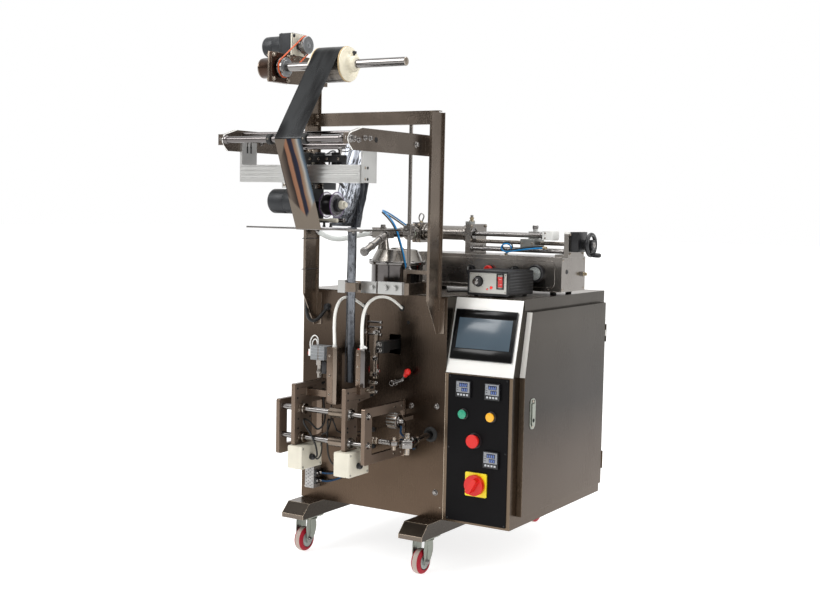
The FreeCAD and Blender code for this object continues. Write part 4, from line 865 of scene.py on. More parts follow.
def terminal_boxes():
    """The jaws' two terminal boxes, and the cables that leave the left one."""
    p = terminal_box("left_terminal_box", "left_jaw", (130, 184), (-250, -144), (317, 388), 352)
    p.tube([(199, -203, 352), (206, -204, 353), (211, -206, 364), (209, -212, 392), (200, -222, 424), (186, -228, 446),
            (172, -226, 462), (166, -212, 470), (176, -196, 458), (196, -186, 438), (212, -178, 452), (214, -170, 482),
            (206, -166, 514), (203, -165, 540)], 2.9, BLACK_HOSE, 10)
    p.tube([(199, -201, 351), (205, -196, 346), (212, -190, 356), (216, -188, 380), (214, -190, 404), (220, -192, 424),
            (234, -186, 434), (240, -176, 470), (236, -168, 516)], 2.2, BLACK_HOSE, 10)
    p.done()
    p = terminal_box("right_terminal_box", "right_jaw", (306, 363), (-250, -144), (314, 388), 345)
    p.done()


def left_jaw_details():
    """Plates, bushes and sealing bar of the left jaw."""
    p = Piece("left_jaw_details", "left_jaw", "jaw_steel")
    for z in GUIDE_ZS:
        p.lathe((148, GUIDE_Y, z), (1, 0, 0),
                [(0, 9.2), (0, 16.2), (3, 16.2), (3, 15.4), (15, 15.4), (15, 16.6), (18.6, 16.6), (18.6, 9.2)],
                BRONZE, 40, 0.5)
        p.lathe((162.5, GUIDE_Y, z), (1, 0, 0), [(0, 9.2), (0, 17.0), (2.2, 17.0), (2.2, 9.2)], CHROME, 40, 0.4)
        p.lathe((121.4, GUIDE_Y, z), (1, 0, 0), [(0, 9.2), (0, 15.6), (12.7, 15.6), (12.7, 9.2)], BRONZE, 40, 0.8)
        for k in range(3):
            t = math.radians(90 + 120 * k)
            p.socket_screw((148.2, GUIDE_Y + 12.6 * math.cos(t) * 1.55, z + 12.6 * math.sin(t) * 1.55), (1, 0, 0),
                           2.6, 2.4, BOLT)
    # Near-black fills for the holes, the slots and the gap between plates: painted shade.
    for y, z in ((-226, 566), (-226, 536), (-160, 560), (-222, 470), (-160, 470), (-222, 440), (-92, 566)):
        p.lathe((148.05, y, z), (1, 0, 0), [(0, 3.4), (0.35, 3.2), (0.35, 2.0), (0.1, 0)], HOLE_SHADE, 18, 0.0)
    for z in (570, 548):
        p.box((147.7, 148.45), (-100, -82), (z - 3.5, z + 3.5), HOLE_SHADE, 0.3)
        p.box((147.8, 148.3), (-212, -128), (z - 4.2, z - 3.2), FRAME_STEEL, 0.1)
    p.box((247.5, 262.8), (-181.0, -150.4), (519.4, 698.8), FRAME_STEEL, 2.2, 3)
    p.box((224.4, 246.6), (-180.8, -150.4), (519.6, 698.6), JAW_STEEL, 1.2, 2)
    p.box((246.4, 247.6), (-179.0, -152), (521, 698.0), HOLE_SHADE, 0.0)
    for z in (550, 610, 672):
        p.socket_screw((236, -180.8, z), (0, -1, 0), 3.6, 2.8, BOLT)
    p.lathe((244, -166, 698), (0, 0, 1), [(0, 7), (5, 7), (5, 5.4), (12, 5.4), (12, 0)], WHITE, 24, 0.5)
    p.box((146, 150), (-182, -149), (536, 564), FRAME_STEEL, 0.8)
    p.hex_bolt((150, -166, 550), (1, 0, 0), 10, 7, BOLT)
    p.done()


def right_jaw_details():
    """Plates, bushes and sealing bar of the right jaw, with the small rod end on its stem."""
    p = Piece("right_jaw_details", "right_jaw", "jaw_steel")
    for z in GUIDE_ZS:
        p.lathe((262, GUIDE_Y, z), (1, 0, 0),
                [(0, 9.2), (0, 14.6), (1.5, 15.4), (52, 15.4), (52, 17.2), (60, 17.2), (60, 9.2)], BRONZE, 40, 0.5)
        p.lathe((336, GUIDE_Y, z), (1, 0, 0), [(0, 9.2), (0, 17.6), (3, 17.6), (3, 15.6), (8.4, 15.6), (8.4, 9.2)],
                CHROME, 40, 0.5)
        for k in range(4):
            t = math.radians(45 + 90 * k)
            p.socket_screw((336.1, GUIDE_Y + 20 * math.cos(t), z + 20 * math.sin(t)), (1, 0, 0), 2.6, 2.4, BOLT)
    # Near-black fills for the holes, the slots and the gap between plates: painted shade.
    for y, z in ((-222, 568), (-222, 546), (-160, 568), (-160, 540), (-222, 460), (-182, 460), (-222, 448),
                 (-180, 398)):
        p.lathe((336.05, y, z), (1, 0, 0), [(0, 3.4), (0.35, 3.2), (0.35, 2.0), (0.1, 0)], HOLE_SHADE, 18, 0.0)
    for z in (572, 548):
        p.box((335.7, 336.45), (-102, -82), (z - 4, z + 4), HOLE_SHADE, 0.3)
        p.box((335.8, 336.3), (-215, -128), (z - 5, z - 4), FRAME_STEEL, 0.1)
    p.box((333.4, 350), (-181.0, -150.4), (582.4, 698.8), JAW_STEEL, 1.6, 3)
    p.box((350.8, 366.8), (-181.0, -150.4), (582.4, 698.6), CHROME_SHADED, 1.6, 3)
    p.box((349.6, 351.2), (-179.0, -152), (584, 698.0), HOLE_SHADE, 0.0)
    for z in (604, 646, 684):
        p.socket_screw((342, -180.8, z), (0, -1, 0), 3.4, 2.8, BOLT)
    p.lathe((347, -166, 698), (0, 0, 1), [(0, 8), (4, 8), (4, 7), (8, 6.2), (14, 7), (14, 0)], WHITE, 20, 0.6)
    p.tube([(354, -170, 699), (357, -173, 704), (361, -172, 708), (362, -166, 704)], 3.4, WHITE, 10)
    p.lathe((341, -176, 698.6), (0, 0, 1), [(0, 3.4), (3, 3.2), (3.4, 0)], RED, 14, 0.3)
    for z in (562, 590):
        p.hex_bolt((374, -128, z + 4), (1, 0, 0), 9, 6, CHROME)
        p.lathe((336, -128, z + 4), (1, 0, 0), [(0, 5), (38, 5), (38, 0)], BOLT, 20, 0.3)
    # the small rod end on its threaded stem
    p.lathe((*SMALL_ROD_END, 406.8), (0, 0, 1), [(0, 8), (2.4, 11.5), (4, 13.8), (14, 13.8), (15.6, 11.5), (18.2, 8)],
            CHROME, 40, 0.6)
    p.lathe((*SMALL_ROD_END, 424.6), (0, 0, 1), [(0, 8.6), (1.6, 8.6), (1.6, 0)], CHROME, 30, 0.3)
    p.hex_bolt((*SMALL_ROD_END, 426), (0, 0, 1), 13.6, 9, BOLT, washer=False)
    p.hex_bolt((*SMALL_ROD_END, 407.6), (0, 0, -1), 13.6, 13, BOLT, washer=False)
    p.lathe((400, -140, 416), (1, 0, 0),
            [(0, 7.3)] + [(0.9 * k + 0.45 * (k % 2), 7.9 if k % 2 else 7.1) for k in range(1, 44)] + [(41, 7.2)],
            CHROME, 28, 0.0)
    for x in (371.6, 384.4):
        p.lathe((x, -140, 416), (1, 0, 0), [(0, 10.2), (1, 11.5), (8, 11.5), (9, 10.2)], BOLT, 6, 0.0)
    p.box((318, 339), (-174, -124), (404.4, 427.6), JAW_STEEL, 1.2)
    p.done()


def drive_rod_end():
    """The big rod end and its drive rod."""
    p = Piece("drive_rod_end", "push_rod", "chrome")
    p.lathe((*BIG_ROD_END, 401), (0, 0, 1), [(0, 14), (2, 20), (4, 24.6), (22, 24.6), (24, 20), (26, 14)], CHROME, 56,
            0.8)
    p.lathe((*BIG_ROD_END, 412.6), (0, 0, 1), [(0, 24.3), (0.6, 25.3), (2.4, 25.3), (3, 24.3)], CHROME_SHADED, 56, 0.2)
    p.lathe((*BIG_ROD_END, 426.4), (0, 0, 1), [(0, 15), (2.2, 14), (3.6, 11), (3.6, 0)], CHROME, 40, 0.4)
    p.hex_bolt((*BIG_ROD_END, 429.6), (0, 0, 1), 18.6, 15, BOLT)
    p.hex_bolt((*BIG_ROD_END, 402), (0, 0, -1), 18.6, 21, BOLT)
    axis = Vector((0.163, 0.98, 0.1136))
    p.lathe(Vector((484.6, -88, 417.8)) - axis * 8, axis,
            [(0, 13), (3, 15.8), (20, 15.8), (22, 13.4), (22, 10), (26, 10)], CHROME, 44, 0.8)
    p.lathe(Vector((485, -86, 418)) + axis * 16, axis, [(0, 12.6), (7, 12.6), (7, 10)], BOLT, 6, 0.0)
    p.done()


def jaw_frame_details():
    """Rod ends, cylinder, valve and block on the jaw frame, and its loose heater leads."""
    p = Piece("jaw_frame_details", "cabinet", "jaw_steel")
    for z in GUIDE_ZS:
        for x, d in ((401, 1), (64, -1)):
            p.lathe((x, GUIDE_Y, z), (d, 0, 0), [(0, 11), (1.4, 11), (1.4, 6.3), (8.6, 6.3), (9.6, 5.2), (9.6, 0)],
                    CHROME, 30, 0.4)
            p.socket_screw((x + d * 8.6, GUIDE_Y, z), (d, 0, 0), 4.4, 2.2, BOLT)
    for y in (-20, -60):
        for z in (366, 512):
            p.socket_screw((401.2, y, z), (1, 0, 0), 4.4, 2.6, BOLT)
    for x in (64, 388):
        p.box((x - 4, x + 17), (-3.2, -0.2), (348, 530), JAW_STEEL, 0.8)
    star = [((24.6 if k % 4 < 2 else 22.0) * math.cos(math.pi * k / 28),
             (24.6 if k % 4 < 2 else 22.0) * math.sin(math.pi * k / 28))
            for k in range(56)]
    p.prism("x", [(-90 + a, 476 + b) for a, b in star], 405, 436, ALU_DARK, 0.3)
    p.lathe((436, -90, 476), (1, 0, 0),
            [(0, 25), (3, 25), (4, 21), (4, 15), (6, 14), (6, 8), (14, 8), (14, 6), (20, 6), (20, 0)], CHROME, 44, 0.5)
    p.hex_bolt((444, -90, 476), (1, 0, 0), 15, 6, BOLT, washer=False)
    p.tube([(446, -90, 462), (444, -88, 440), (437, -60, 424), (437, -36, 408), (438, -24, 392), (439, -14, 382),
            (441, -4, 378)], 3.2, BLUE_DIM, 12)
    p.lathe((441, -5, 378), (0, 1, 0), [(0, 7), (5.4, 7), (5.4, 0)], BLACK, 20, 0.5)
    p.box((110.8, 140), (-113, -65), (644, 689), GREY_VALVE, 2, 3)
    p.box((142, 166), (-113, -65), (644, 689), GREY_VALVE, 2, 3)
    p.box((139, 143), (-111, -67), (646, 687), CHARCOAL, 0.5)
    for z in (652, 662, 672, 681):
        p.box((112, 165), (-113.6, -112), (z, z + 1.2), GREY_MOULDED, 0.3)
    p.box((98, 111), (-106, -84), (654, 676), WHITE, 1.2)
    p.box((94, 99), (-103, -88), (658, 668), RED, 0.8)
    p.tube([(100, -96, 676), (98, -96, 694), (103, -95, 712), (114, -93, 720), (124, -91, 712), (126, -90, 692)], 1.9,
           WHITE, 10)
    p.tube([(105, -93, 676), (104, -93, 692), (108, -92, 704), (116, -91, 708), (121, -90, 700), (122, -90, 690)],
           1.9, WHITE, 10)
    p.tube([(97, -92, 668), (92, -90, 674), (90, -86, 664), (96, -82, 656)], 1.6, RED, 10)
    p.lathe((138, -95, 586), (0, 0, 1),
            [(0, 8.8), (14, 8.8), (14, 11), (22, 11), (22, 8.8), (40, 8.8), (40, 12.5), (58, 12.5)], BRIGHT_Z, 28, 0.5)
    p.box((150, 168), (-104, -84), (600, 640), BLACK, 1.5)
    p.lathe((168, -94, 612), (1, 0, 0), [(0, 5), (7, 5), (7, 0)], CHROME, 20, 0.5)
    p.box((41.4, 76.6), (-38.6, -0.2), (205.4, 280.6), PERFORATED, 1.2)
    # Near-black discs for the block's perforations: painted shade.
    for i in range(4):
        for k in range(6):
            p.lathe((47.5 + i * 7.8, -38.5, 213 + k * 11.5 + (i % 2) * 5), (0, -1, 0),
                    [(0, 1.8), (0.3, 1.7), (0.1, 0)], HOLE_SHADE, 12, 0.0)
    for z in (230, 256):
        p.box((76, 84), (-34, -8), (z - 10, z + 10), BLACK, 1.0)
        p.lathe((84, -28, z), (1, 0, 0), [(0, 4.6), (4, 4.6), (5, 3.4), (5, 0)], CHROME, 20, 0.3)
        p.lathe((84, -15, z), (1, 0, 0), [(0, 5), (7, 5), (7, 3.5), (10, 3.5), (10, 0)], CHROME, 20, 0.4)
    p.tube([(93, -15, 256), (110, -14, 256), (130, -12, 258), (152, -11, 263), (176, -10, 272), (200, -8, 288),
            (222, -6, 306)], 3.0, BLUE_DIM, 12)
    p.tube([(93, -15, 230), (112, -14, 230), (136, -12, 236), (160, -10, 246), (184, -9, 262), (206, -7, 284),
            (225, -5, 304)], 3.0, BLUE_DIM, 12)
    p.lathe((228, -8, 318), (0, 1, 0), [(0, 11), (8, 11), (8, 0)], BLACK, 24, 0.8)
    # loose heater leads that hang between the rods and enter the panel
    p.tube([(222, -150, 462), (230, -176, 470), (240, -192, 452), (244, -198, 410), (245, -194, 366), (254, -184, 336),
            (266, -162, 330), (276, -120, 342), (282, -60, 358), (284, -2, 366)], 2.8, BLACK_HOSE, 10)
    p.tube([(232, -150, 468), (248, -178, 474), (262, -186, 460), (270, -182, 440), (278, -150, 430), (284, -80, 424),
            (286, -2, 420)],
           2.4, BLACK_HOSE, 10)
    for z in (366, 420):
        p.lathe((285, -7, z), (0, 1, 0), [(0, 6), (3, 8), (6.6, 8), (6.6, 0)], RUBBER, 20, 0.4)
    p.done()


terminal_boxes()
left_jaw_details()
right_jaw_details()
drive_rod_end()
jaw_frame_details()


def sleeve(name, body, route):
    """A woven heater sleeve, slightly flattened, whose foot starts at its jaw; it is left on no body."""
    line = spline_points(route, 10)
    p = Piece(name, body, "white_sleeve")
    b = bmesh.new()
    seg, rings, side = 20, [], Vector((1, 0, 0))
    for i, c in enumerate(line):
        d = (line[min(i + 1, len(line) - 1)] - line[max(i - 1, 0)]).normalized()
        side = (side - d * side.dot(d)).normalized()
        other = d.cross(side)
        ring = []
        for k in range(seg):
            t = 2 * math.pi * k / seg
            wrinkle = 1 + 0.05 * noise.noise(Vector((c.x * 0.09, c.z * 0.11, k * 0.7)))
            ring.append(b.verts.new(c + (side * math.cos(t) * 5.6 + other * math.sin(t) * 4.0) * wrinkle))
        rings.append(ring)
    for a, c in zip(rings, rings[1:]):
        for k in range(seg):
            j = (k + 1) % seg
            b.faces.new((a[k], c[k], c[j], a[j]))
    b.faces.new(rings[0])
    b.faces.new(rings[-1])
    bmesh.ops.recalc_face_normals(b, faces=b.faces[:])
    p.take(b, SLEEVE)
    obj = p.done("heater_sleeves")
    obj.parent = None
    del obj["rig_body"]
    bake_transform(obj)


sleeve("left_sleeve", "left_jaw",
       [(244, -166, 699), (242, -166, 735), (238, -162, 775), (234, -150, 815), (232, -122, 846),
                                   (232, -80, 852), (236, -40, 838), (240, 0, 816)])
sleeve("right_sleeve", "right_jaw",
       [(347, -166, 699), (345, -166, 735), (341, -160, 775), (338, -148, 812), (340, -126, 842),
                                     (352, -94, 858), (366, -58, 856), (377, -26, 840), (384, 0, 819)])


def puller_details():
    p = Piece("puller_details", "puller", "jaw_steel")
    for x in (318, 360):
        for z in (617, 667, 749):
            p.hex_bolt((x, -112, z), (0, -1, 0), 11.5, 8, CHROME)
    for z in (695, 713):
        p.lathe((379, -118, z), (0, -1, 0), [(0, 8.4), (2, 8.4), (2, 7.4), (8.4, 7.4), (9.2, 6.2), (9.2, 0)], CHROME,
                24, 0.3)
    p.box((308.4, 327.6), (-112.8, -97.4), (603.4, 800.6), JAW_STEEL, 1.5, 2)
    p.box((352.4, 366.6), (-112.8, -99.4), (603.4, 764.6), FRAME_STEEL, 2.5, 3)
    p.box((365.4, 392.6), (-118.6, -77.4), (685.4, 722.6), BLACK_PAINT, 2.0, 3)
    for z in (742, 764, 780):
        p.lathe((330, -108, z), (1, 0, 0), [(0, 3.6), (44, 3.6), (44, 5.4), (50, 5.4), (50, 0)], CHROME, 18, 0.4)
    p.hex_bolt((366, -106, 752), (1, 0, 0), 9, 6, CHROME)
    p.hex_bolt((366, -106, 628), (1, 0, 0), 9, 6, CHROME)
    p.lathe((318, -105, 800), (0, 0, 1), [(0, 5), (5, 5), (6, 4), (6, 0)], CHROME, 20, 0.4)
    p.done()
    p = Piece("lever_details", "clutch_lever", "chrome")
    p.lathe((413.5, -22.8, 606.4), (0.62, -0.25, 0.75), [(0, 4.4), (2, 6.6), (9, 7.4), (14, 7.8)], RED, 26, 0.5)
    p.lathe((365, -0.6, 580), (0, -1, 0), [(0, 10), (4, 10), (4, 9.3), (21.6, 9.3), (23, 7), (23, 0)], CHROME, 36, 0.6)
    p.lathe((403.5, -19.8, 593.4), (0, 0, 1), [(-6.4, 0), (-5, 3.6), (-2, 6), (0, 6.5), (2, 6), (5, 3.6), (6.4, 0)],
            CHROME, 24, 0.0)
    p.socket_screw((372, -14, 584), (0.36, -0.9, -0.2), 3.4, 6, CHROME)
    p.done()


puller_details()


def panel_bits():
    p = Piece("front_panel_bits", "cabinet", "panel_steel")
    # Near-black fills for the fittings' bores, a small hole and a sheet further in: painted shade.
    for x, z in ((427, 512), (519, 519), (520, 246)):
        p.lathe((x, 0, z), (0, -1, 0), [(0, 9.5), (1.4, 9.5), (1.4, 7.6), (5.4, 7.2), (7.2, 5.4), (7.2, 3.6)], CHROME,
                32, 0.4)
        p.lathe((x, -3.4, z), (0, -1, 0), [(0, 0), (0, 4.0), (3.7, 4.0)], HOLE_SHADE, 6, 0.0)
    p.lathe((499.5, -0.2, 428.5), (0, -1, 0),
            [(0, 24), (2, 24), (3, 22), (4.6, 22), (5.2, 19), (6.2, 18.6), (6.6, 15), (4.4, 13.6), (1, 12)],
            RUBBER, 48, 0.5)
    p.lathe((409, -0.1, 775), (0, -1, 0), [(0, 5.4), (0.5, 5.0), (0.5, 3.2), (0.1, 0)], HOLE_SHADE, 24, 0.0)
    p.box((328, 396), (61.5, 62.5), (660, 745), HOLE_SHADE, 0)
    for x, z in ((384, 819), (240, 816)):
        p.lathe((x, -0.1, z), (0, -1, 0), [(0, 10), (1.6, 9.6), (1.6, 7.4), (0, 7.4)], RUBBER, 30, 0.3)
    p.lathe((96, -0.1, 806), (0, -1, 0), [(0, 12), (4, 11), (4, 7.2), (0, 7.2)], RUBBER, 30, 0.5)
    p.done()


panel_bits()


# ---------------------------------------------------------------- film
def film_material(name, dark, light, rough, streaks, crinkle=0.0, tint=None):
    """Metallised film: long soft streaks of painted highlight, and creases where it is gathered."""
    n = Nodes(name)
    # Streaks between the dark and the light colour: painted highlight.
    highlight_streaks = n.noise(1.0, 2.0, (26, 8, 1.6), 0.5)
    folds = n.noise(9.0, 3.0, (1.4, 1.0, 0.5), 0.55)
    out = n.mix(n.remap(highlight_streaks, 0.0, 1.0, 0.40, 0.60), lin(dark), lin(light))
    if tint:
        out = n.mix(n.remap(n.noise(1.0, 1.0, (34, 3, 1.0)), 0.0, 0.8, 0.52, 0.66), out, lin(tint))
    n.tree.links.new(out, n.shader.inputs["Base Color"])
    n.tree.links.new(n.remap(folds, rough - 0.05, rough + 0.09), n.shader.inputs["Roughness"])
    bump = n.add("Bump")
    bump.inputs["Strength"].default_value = streaks
    bump.inputs["Distance"].default_value = 0.002
    n.tree.links.new(folds, bump.inputs["Height"])
    last = bump
    if crinkle:
        creases = n.add("TexVoronoi", feature="F1", distance="CHEBYCHEV")
        n.tree.links.new(n.coords((1.0, 1.0, 0.55)), creases.inputs["Vector"])
        creases.inputs["Scale"].default_value = 70.0
        last = n.add("Bump")
        last.inputs["Strength"].default_value = crinkle
        last.inputs["Distance"].default_value = 0.004
        n.tree.links.new(creases.outputs["Distance"], last.inputs["Height"])
        n.tree.links.new(bump.outputs[0], last.inputs["Normal"])
    n.tree.links.new(last.outputs[0], n.shader.inputs["Normal"])
    n.shader.inputs["Metallic"].default_value = 0.9
    return n.material


FILM_DARK = film_material("film_back_side", "#131314", "#2f3031", 0.27, 0.25)
FILM_ROLL = film_material("film_on_roll", "#332f2c", "#6d6761", 0.20, 0.15)
FILM_SILVER = film_material("film_crinkled", "#33353a", "#85888e", 0.24, 0.5, 0.30, "#1f2125")


def painted_reflection_film():
    """The film's metallised face between the roller and the plate, with painted reflections: long coloured bands, a
    taupe corner at the top and a greyish lower part.
    """
    n = Nodes("film_painted_reflections")
    source = n.add("TexCoord")
    parts = n.add("SeparateXYZ")
    n.tree.links.new(source.outputs["Object"], parts.inputs[0])
    wander = n.noise(7.0, 3.0, (1.0, 1.0, 0.6))
    left, wide = (243 - 432) * MM, 95 * MM
    across = n.math("DIVIDE", n.math("SUBTRACT", parts.outputs["X"], left), wide)
    down = n.math("DIVIDE", n.math("SUBTRACT", 1.325, parts.outputs["Z"]), 0.25)
    slant = n.math("ADD", across, n.math("MULTIPLY", n.math("SUBTRACT", wander, 0.5), 0.16))
    slant = n.math("ADD", slant, n.math("MULTIPLY", n.math("SUBTRACT", 0.5, down), 0.10))
    slant = n.math("ADD", slant,
                   n.math("MULTIPLY", n.math("SUBTRACT", n.noise(26.0, 2.0, (1.0, 1.0, 0.35)), 0.5), 0.09))
    # Bands of painted reflection across the film, bent by noise.
    ramp = n.add("ValToRGB")
    stops = ((0.0, "#241d1b"), (0.08, "#574d45"), (0.22, "#3b322c"), (0.31, "#1d1614"), (0.35, "#76523d"),
             (0.47, "#7c5843"), (0.51, "#2b2021"),
             (0.54, "#10111f"), (0.66, "#151628"), (0.69, "#6e503c"), (0.78, "#776656"), (0.86, "#8a8884"),
             (0.93, "#4c5a66"), (1.0, "#2c3339"))
    set_stops(ramp, [(place, lin(colour)) for place, colour in stops])
    n.tree.links.new(slant, ramp.inputs["Fac"])
    # A taupe corner at the top and a greyish lower part: painted reflection.
    taupe = lin("#5d544b")
    low = n.remap(n.math("ADD", down, n.math("MULTIPLY", n.math("ABSOLUTE", n.math("SUBTRACT", across, 0.55)), 0.42)),
                  0.0, 1.0, 0.86, 0.90)
    corner = n.remap(n.math("SUBTRACT", n.math("SUBTRACT", 0.42, n.math("MULTIPLY", down, 1.5)), across), 0.0, 1.0,
                     -0.03, 0.03)
    out = n.mix(corner, n.mix(low, ramp.outputs["Color"], lin("#665d53")), taupe)
    n.tree.links.new(out, n.shader.inputs["Base Color"])
    bump = n.add("Bump")
    bump.inputs["Strength"].default_value = 0.5
    bump.inputs["Distance"].default_value = 0.002
    n.tree.links.new(n.noise(9.0, 3.0, (1.4, 1.0, 0.5), 0.55), bump.inputs["Height"])
    n.tree.links.new(bump.outputs[0], n.shader.inputs["Normal"])
    n.shader.inputs["Metallic"].default_value = 0.75
    n.shader.inputs["Roughness"].default_value = 0.18
    return n.material


FILM_PAINTED_REFLECTIONS = painted_reflection_film()


def arc(centre, radius, start, end, steps=14):
    """(y, z) points on an arc, in degrees from +y towards +z."""
    return [(centre[0] + radius * math.cos(math.radians(start + (end - start) * k / steps)),
             centre[1] + radius * math.sin(math.radians(start + (end - start) * k / steps))) for k in range(steps + 1)]


def between(a, b, steps):
    return [(a[0] + (b[0] - a[0]) * k / steps, a[1] + (b[1] - a[1]) * k / steps) for k in range(1, steps)]


def strip(name, path, edges, columns, ripple, material, thick=0.25):
    """A film strip along (y, z) points. edges(s) gives its left and right x, ripple(s, t) its bow off the line."""
    b = bmesh.new()
    path = [Vector((0, y, z)) for y, z in path]
    spans = [0.0]
    for p, q in zip(path, path[1:]):
        spans.append(spans[-1] + (q - p).length)
    total = spans[-1]
    rows = []
    for i, p in enumerate(path):
        s = spans[i] / total
        d = (path[min(i + 1, len(path) - 1)] - path[max(i - 1, 0)]).normalized()
        out = Vector((0, d.z, -d.y))
        left, right = edges(s)
        row = []
        for k in range(columns + 1):
            t = k / columns
            row.append(b.verts.new(Vector((left + (right - left) * t, p.y, p.z)) + out * ripple(s, t)))
        rows.append(row)
    for a, c in zip(rows, rows[1:]):
        for k in range(columns):
            b.faces.new((a[k], a[k + 1], c[k + 1], c[k]))
    bmesh.ops.recalc_face_normals(b, faces=b.faces[:])
    area = sum(f.calc_area() for f in b.faces)
    bmesh.ops.solidify(b, geom=b.faces[:], thickness=thick)
    bmesh.ops.recalc_face_normals(b, faces=b.faces[:])
    p = Piece(name, "cabinet", "film")
    p.take(b, material)
    obj = p.done(sharp=60)
    return obj


def film():
    """The five runs of film, from the roll to the fill tube."""
    roll, roller = (-257.0, 1556.0), (-470.0, 1325.0)
    heading = math.degrees(math.atan2(roller[1] - roll[1], roller[0] - roll[0]))
    r1, r2 = 52.6, 10.1
    off = math.degrees(math.asin((r1 - r2) / math.hypot(roller[0] - roll[0], roller[1] - roll[1])))
    tangent = heading - 90 + off + 360 if heading < 0 else heading - 90 + off
    leave = arc(roll, r1, tangent - 62, tangent, 14)
    meet = arc(roller, r2, tangent, tangent + 36, 6)
    upper = leave + between(leave[-1], meet[0], 26) + meet

    def sheen(s, t):
        return (1.1 * math.sin(math.pi * t) * math.sin(math.pi * max(0.0, s - 0.25) / 0.75)
                + 0.5 * math.sin(5 * t + 3 * s))

    strip("film_upper_run", upper, lambda s: (243.3, 337.7), 20, lambda s, t: 0.25 * sheen(s, t), FILM_DARK)
    wrap = arc(roller, r2, tangent + 36, 180 + 10, 10)
    lower = (-376.9, 1073.5)
    front = wrap + between(wrap[-1], lower, 30) + [lower, (-376.2, 1069.0), (-374.6, 1066.0)]

    def fold(s, t):
        grow = math.sin(math.pi * min(1.0, max(0.0, s - 0.08) / 0.92))
        return grow * (1.7 * math.sin(9.0 * t + 1.2 * s) + 0.8 * math.sin(17 * t - 2 * s))

    strip("film_front_web", front, lambda s: (243.3 + 1.5 * s, 337.7 - 1.0 * s), 36, lambda s, t: 0.55 * fold(s, t),
          FILM_PAINTED_REFLECTIONS)
    under = [(-374.0, 1065.4)] + between((-374.0, 1065.4), (-214.0, 1064.6), 10) + [(-214.0, 1064.6)]
    strip("film_under_plate", under, lambda s: (245 + 8 * s, 337 - 6 * s), 16, lambda s, t: 0.3 * math.sin(6 * t + s),
          FILM_SILVER)
    bar = (-110.0, 1325.0)
    rise = between((-208.0, 1066.0), (-123.0, 1325.0), 26) + arc(bar, 13.0, 180, 0, 14)
    fall = between(rise[-1], (-141.0, 1072.0), 26) + [(-141.0, 1072.0)]

    def creases(s, t):
        k = noise.noise(Vector((t * 5.0, s * 9.0, 1.7))) + 0.6 * noise.noise(Vector((t * 11.0, s * 16.0, 4.1)))
        return 4.2 * k * min(1.0, 4 * s, 6 * (1 - s))

    strip("film_rising_web", rise, lambda s: (252 - 7 * s, 330 + 6 * s), 30, lambda s, t: 0.6 * creases(s, t),
          FILM_SILVER)

    def narrowing(s):
        k = min(1.0, s * 1.02)
        return 246 + 34 * k, 337 - 21 * k

    strip("film_falling_web", fall, narrowing, 34, lambda s,
          t: 1.25 * creases(s, t) - 3.0 * math.sin(math.pi * t) * s, FILM_SILVER)


film()


def film_tube():
    """The formed tube with its fin seam, flattened a little by the jaws, replacing the CAD film."""
    b = bmesh.new()
    seg, rings = 40, []
    levels = [1072 - 4.0 * k for k in range(121)]
    for z in levels:
        t = (1072 - z) / 480
        wide = 14.0 - 0.5 * t
        deep = 13.2 - 7.0 * max(0.0, t - 0.15)
        ring = []
        for k in range(seg):
            a = 2 * math.pi * k / seg
            w = 1 + 0.075 * noise.noise(Vector((math.cos(a) * 1.6, math.sin(a) * 1.6, z * 0.021))) \
                + 0.035 * noise.noise(Vector((math.cos(a) * 5, math.sin(a) * 5, z * 0.07)))
            ring.append(b.verts.new((298 + wide * math.cos(a) * w, -158 + deep * math.sin(a) * w, z)))
        rings.append(ring)
    for a, c in zip(rings, rings[1:]):
        for k in range(seg):
            j = (k + 1) % seg
            b.faces.new((a[k], c[k], c[j], a[j]))
    b.faces.new(rings[0])
    b.faces.new(rings[-1])
    bmesh.ops.recalc_face_normals(b, faces=b.faces[:])
    p = Piece("film_tube", "cabinet", "film")
    p.take(b, FILM_SILVER)
    seam = [(1071 - 12.0 * k) for k in range(41)]
    for x, y, lean in ((310.0, -164.0, 0.6), (287.5, -165.0, -0.6)):
        outline = [(x + lean * math.sin(z * 0.03), y - 5.0 * max(0.2, (1072 - z) / 480), z) for z in seam]
        p.tube(outline, 1.1, FILM_SILVER, 8, steps=3)
    p.done("film_web", sharp=50)
    layers = Piece("wound_film", "unwinder", "film")
    profile = [(0, 26.0)]
    for k in range(11):
        profile += [(0.0 + 0.5 * (k % 2), 28.0 + 2.2 * k)]
    profile += [(0.4, 52.2), (94.6, 52.2)]
    for k in range(11):
        profile += [(95.0 - 0.5 * (k % 2), 50.4 - 2.2 * k)]
    profile += [(95, 26.0)]
    layers.lathe((243, *SHAFT), (1, 0, 0), profile, FILM_ROLL, 72, 0.0)
    layers.lathe((241.6, *SHAFT), (1, 0, 0), [(0, 13.6), (0, 27), (98, 27), (98, 13.6)], TAN_RIM, 48, 0.3)
    layers.done("film_roll")


film_tube()


# ---------------------------------------------------------------- unwinder, arms and coder
HOUSING = surface("housing_brown", "#44342b", 0.26, 0.92, "x", 0.14, 14.0, 0.07, "#a08672", grain_tone=0.05)
FACE_GREY = surface("turned_grey", "#86888a", 0.34, 0.85, None, 0.08, 30.0, 0.06, "#bfc1c2", micro=0.00003)


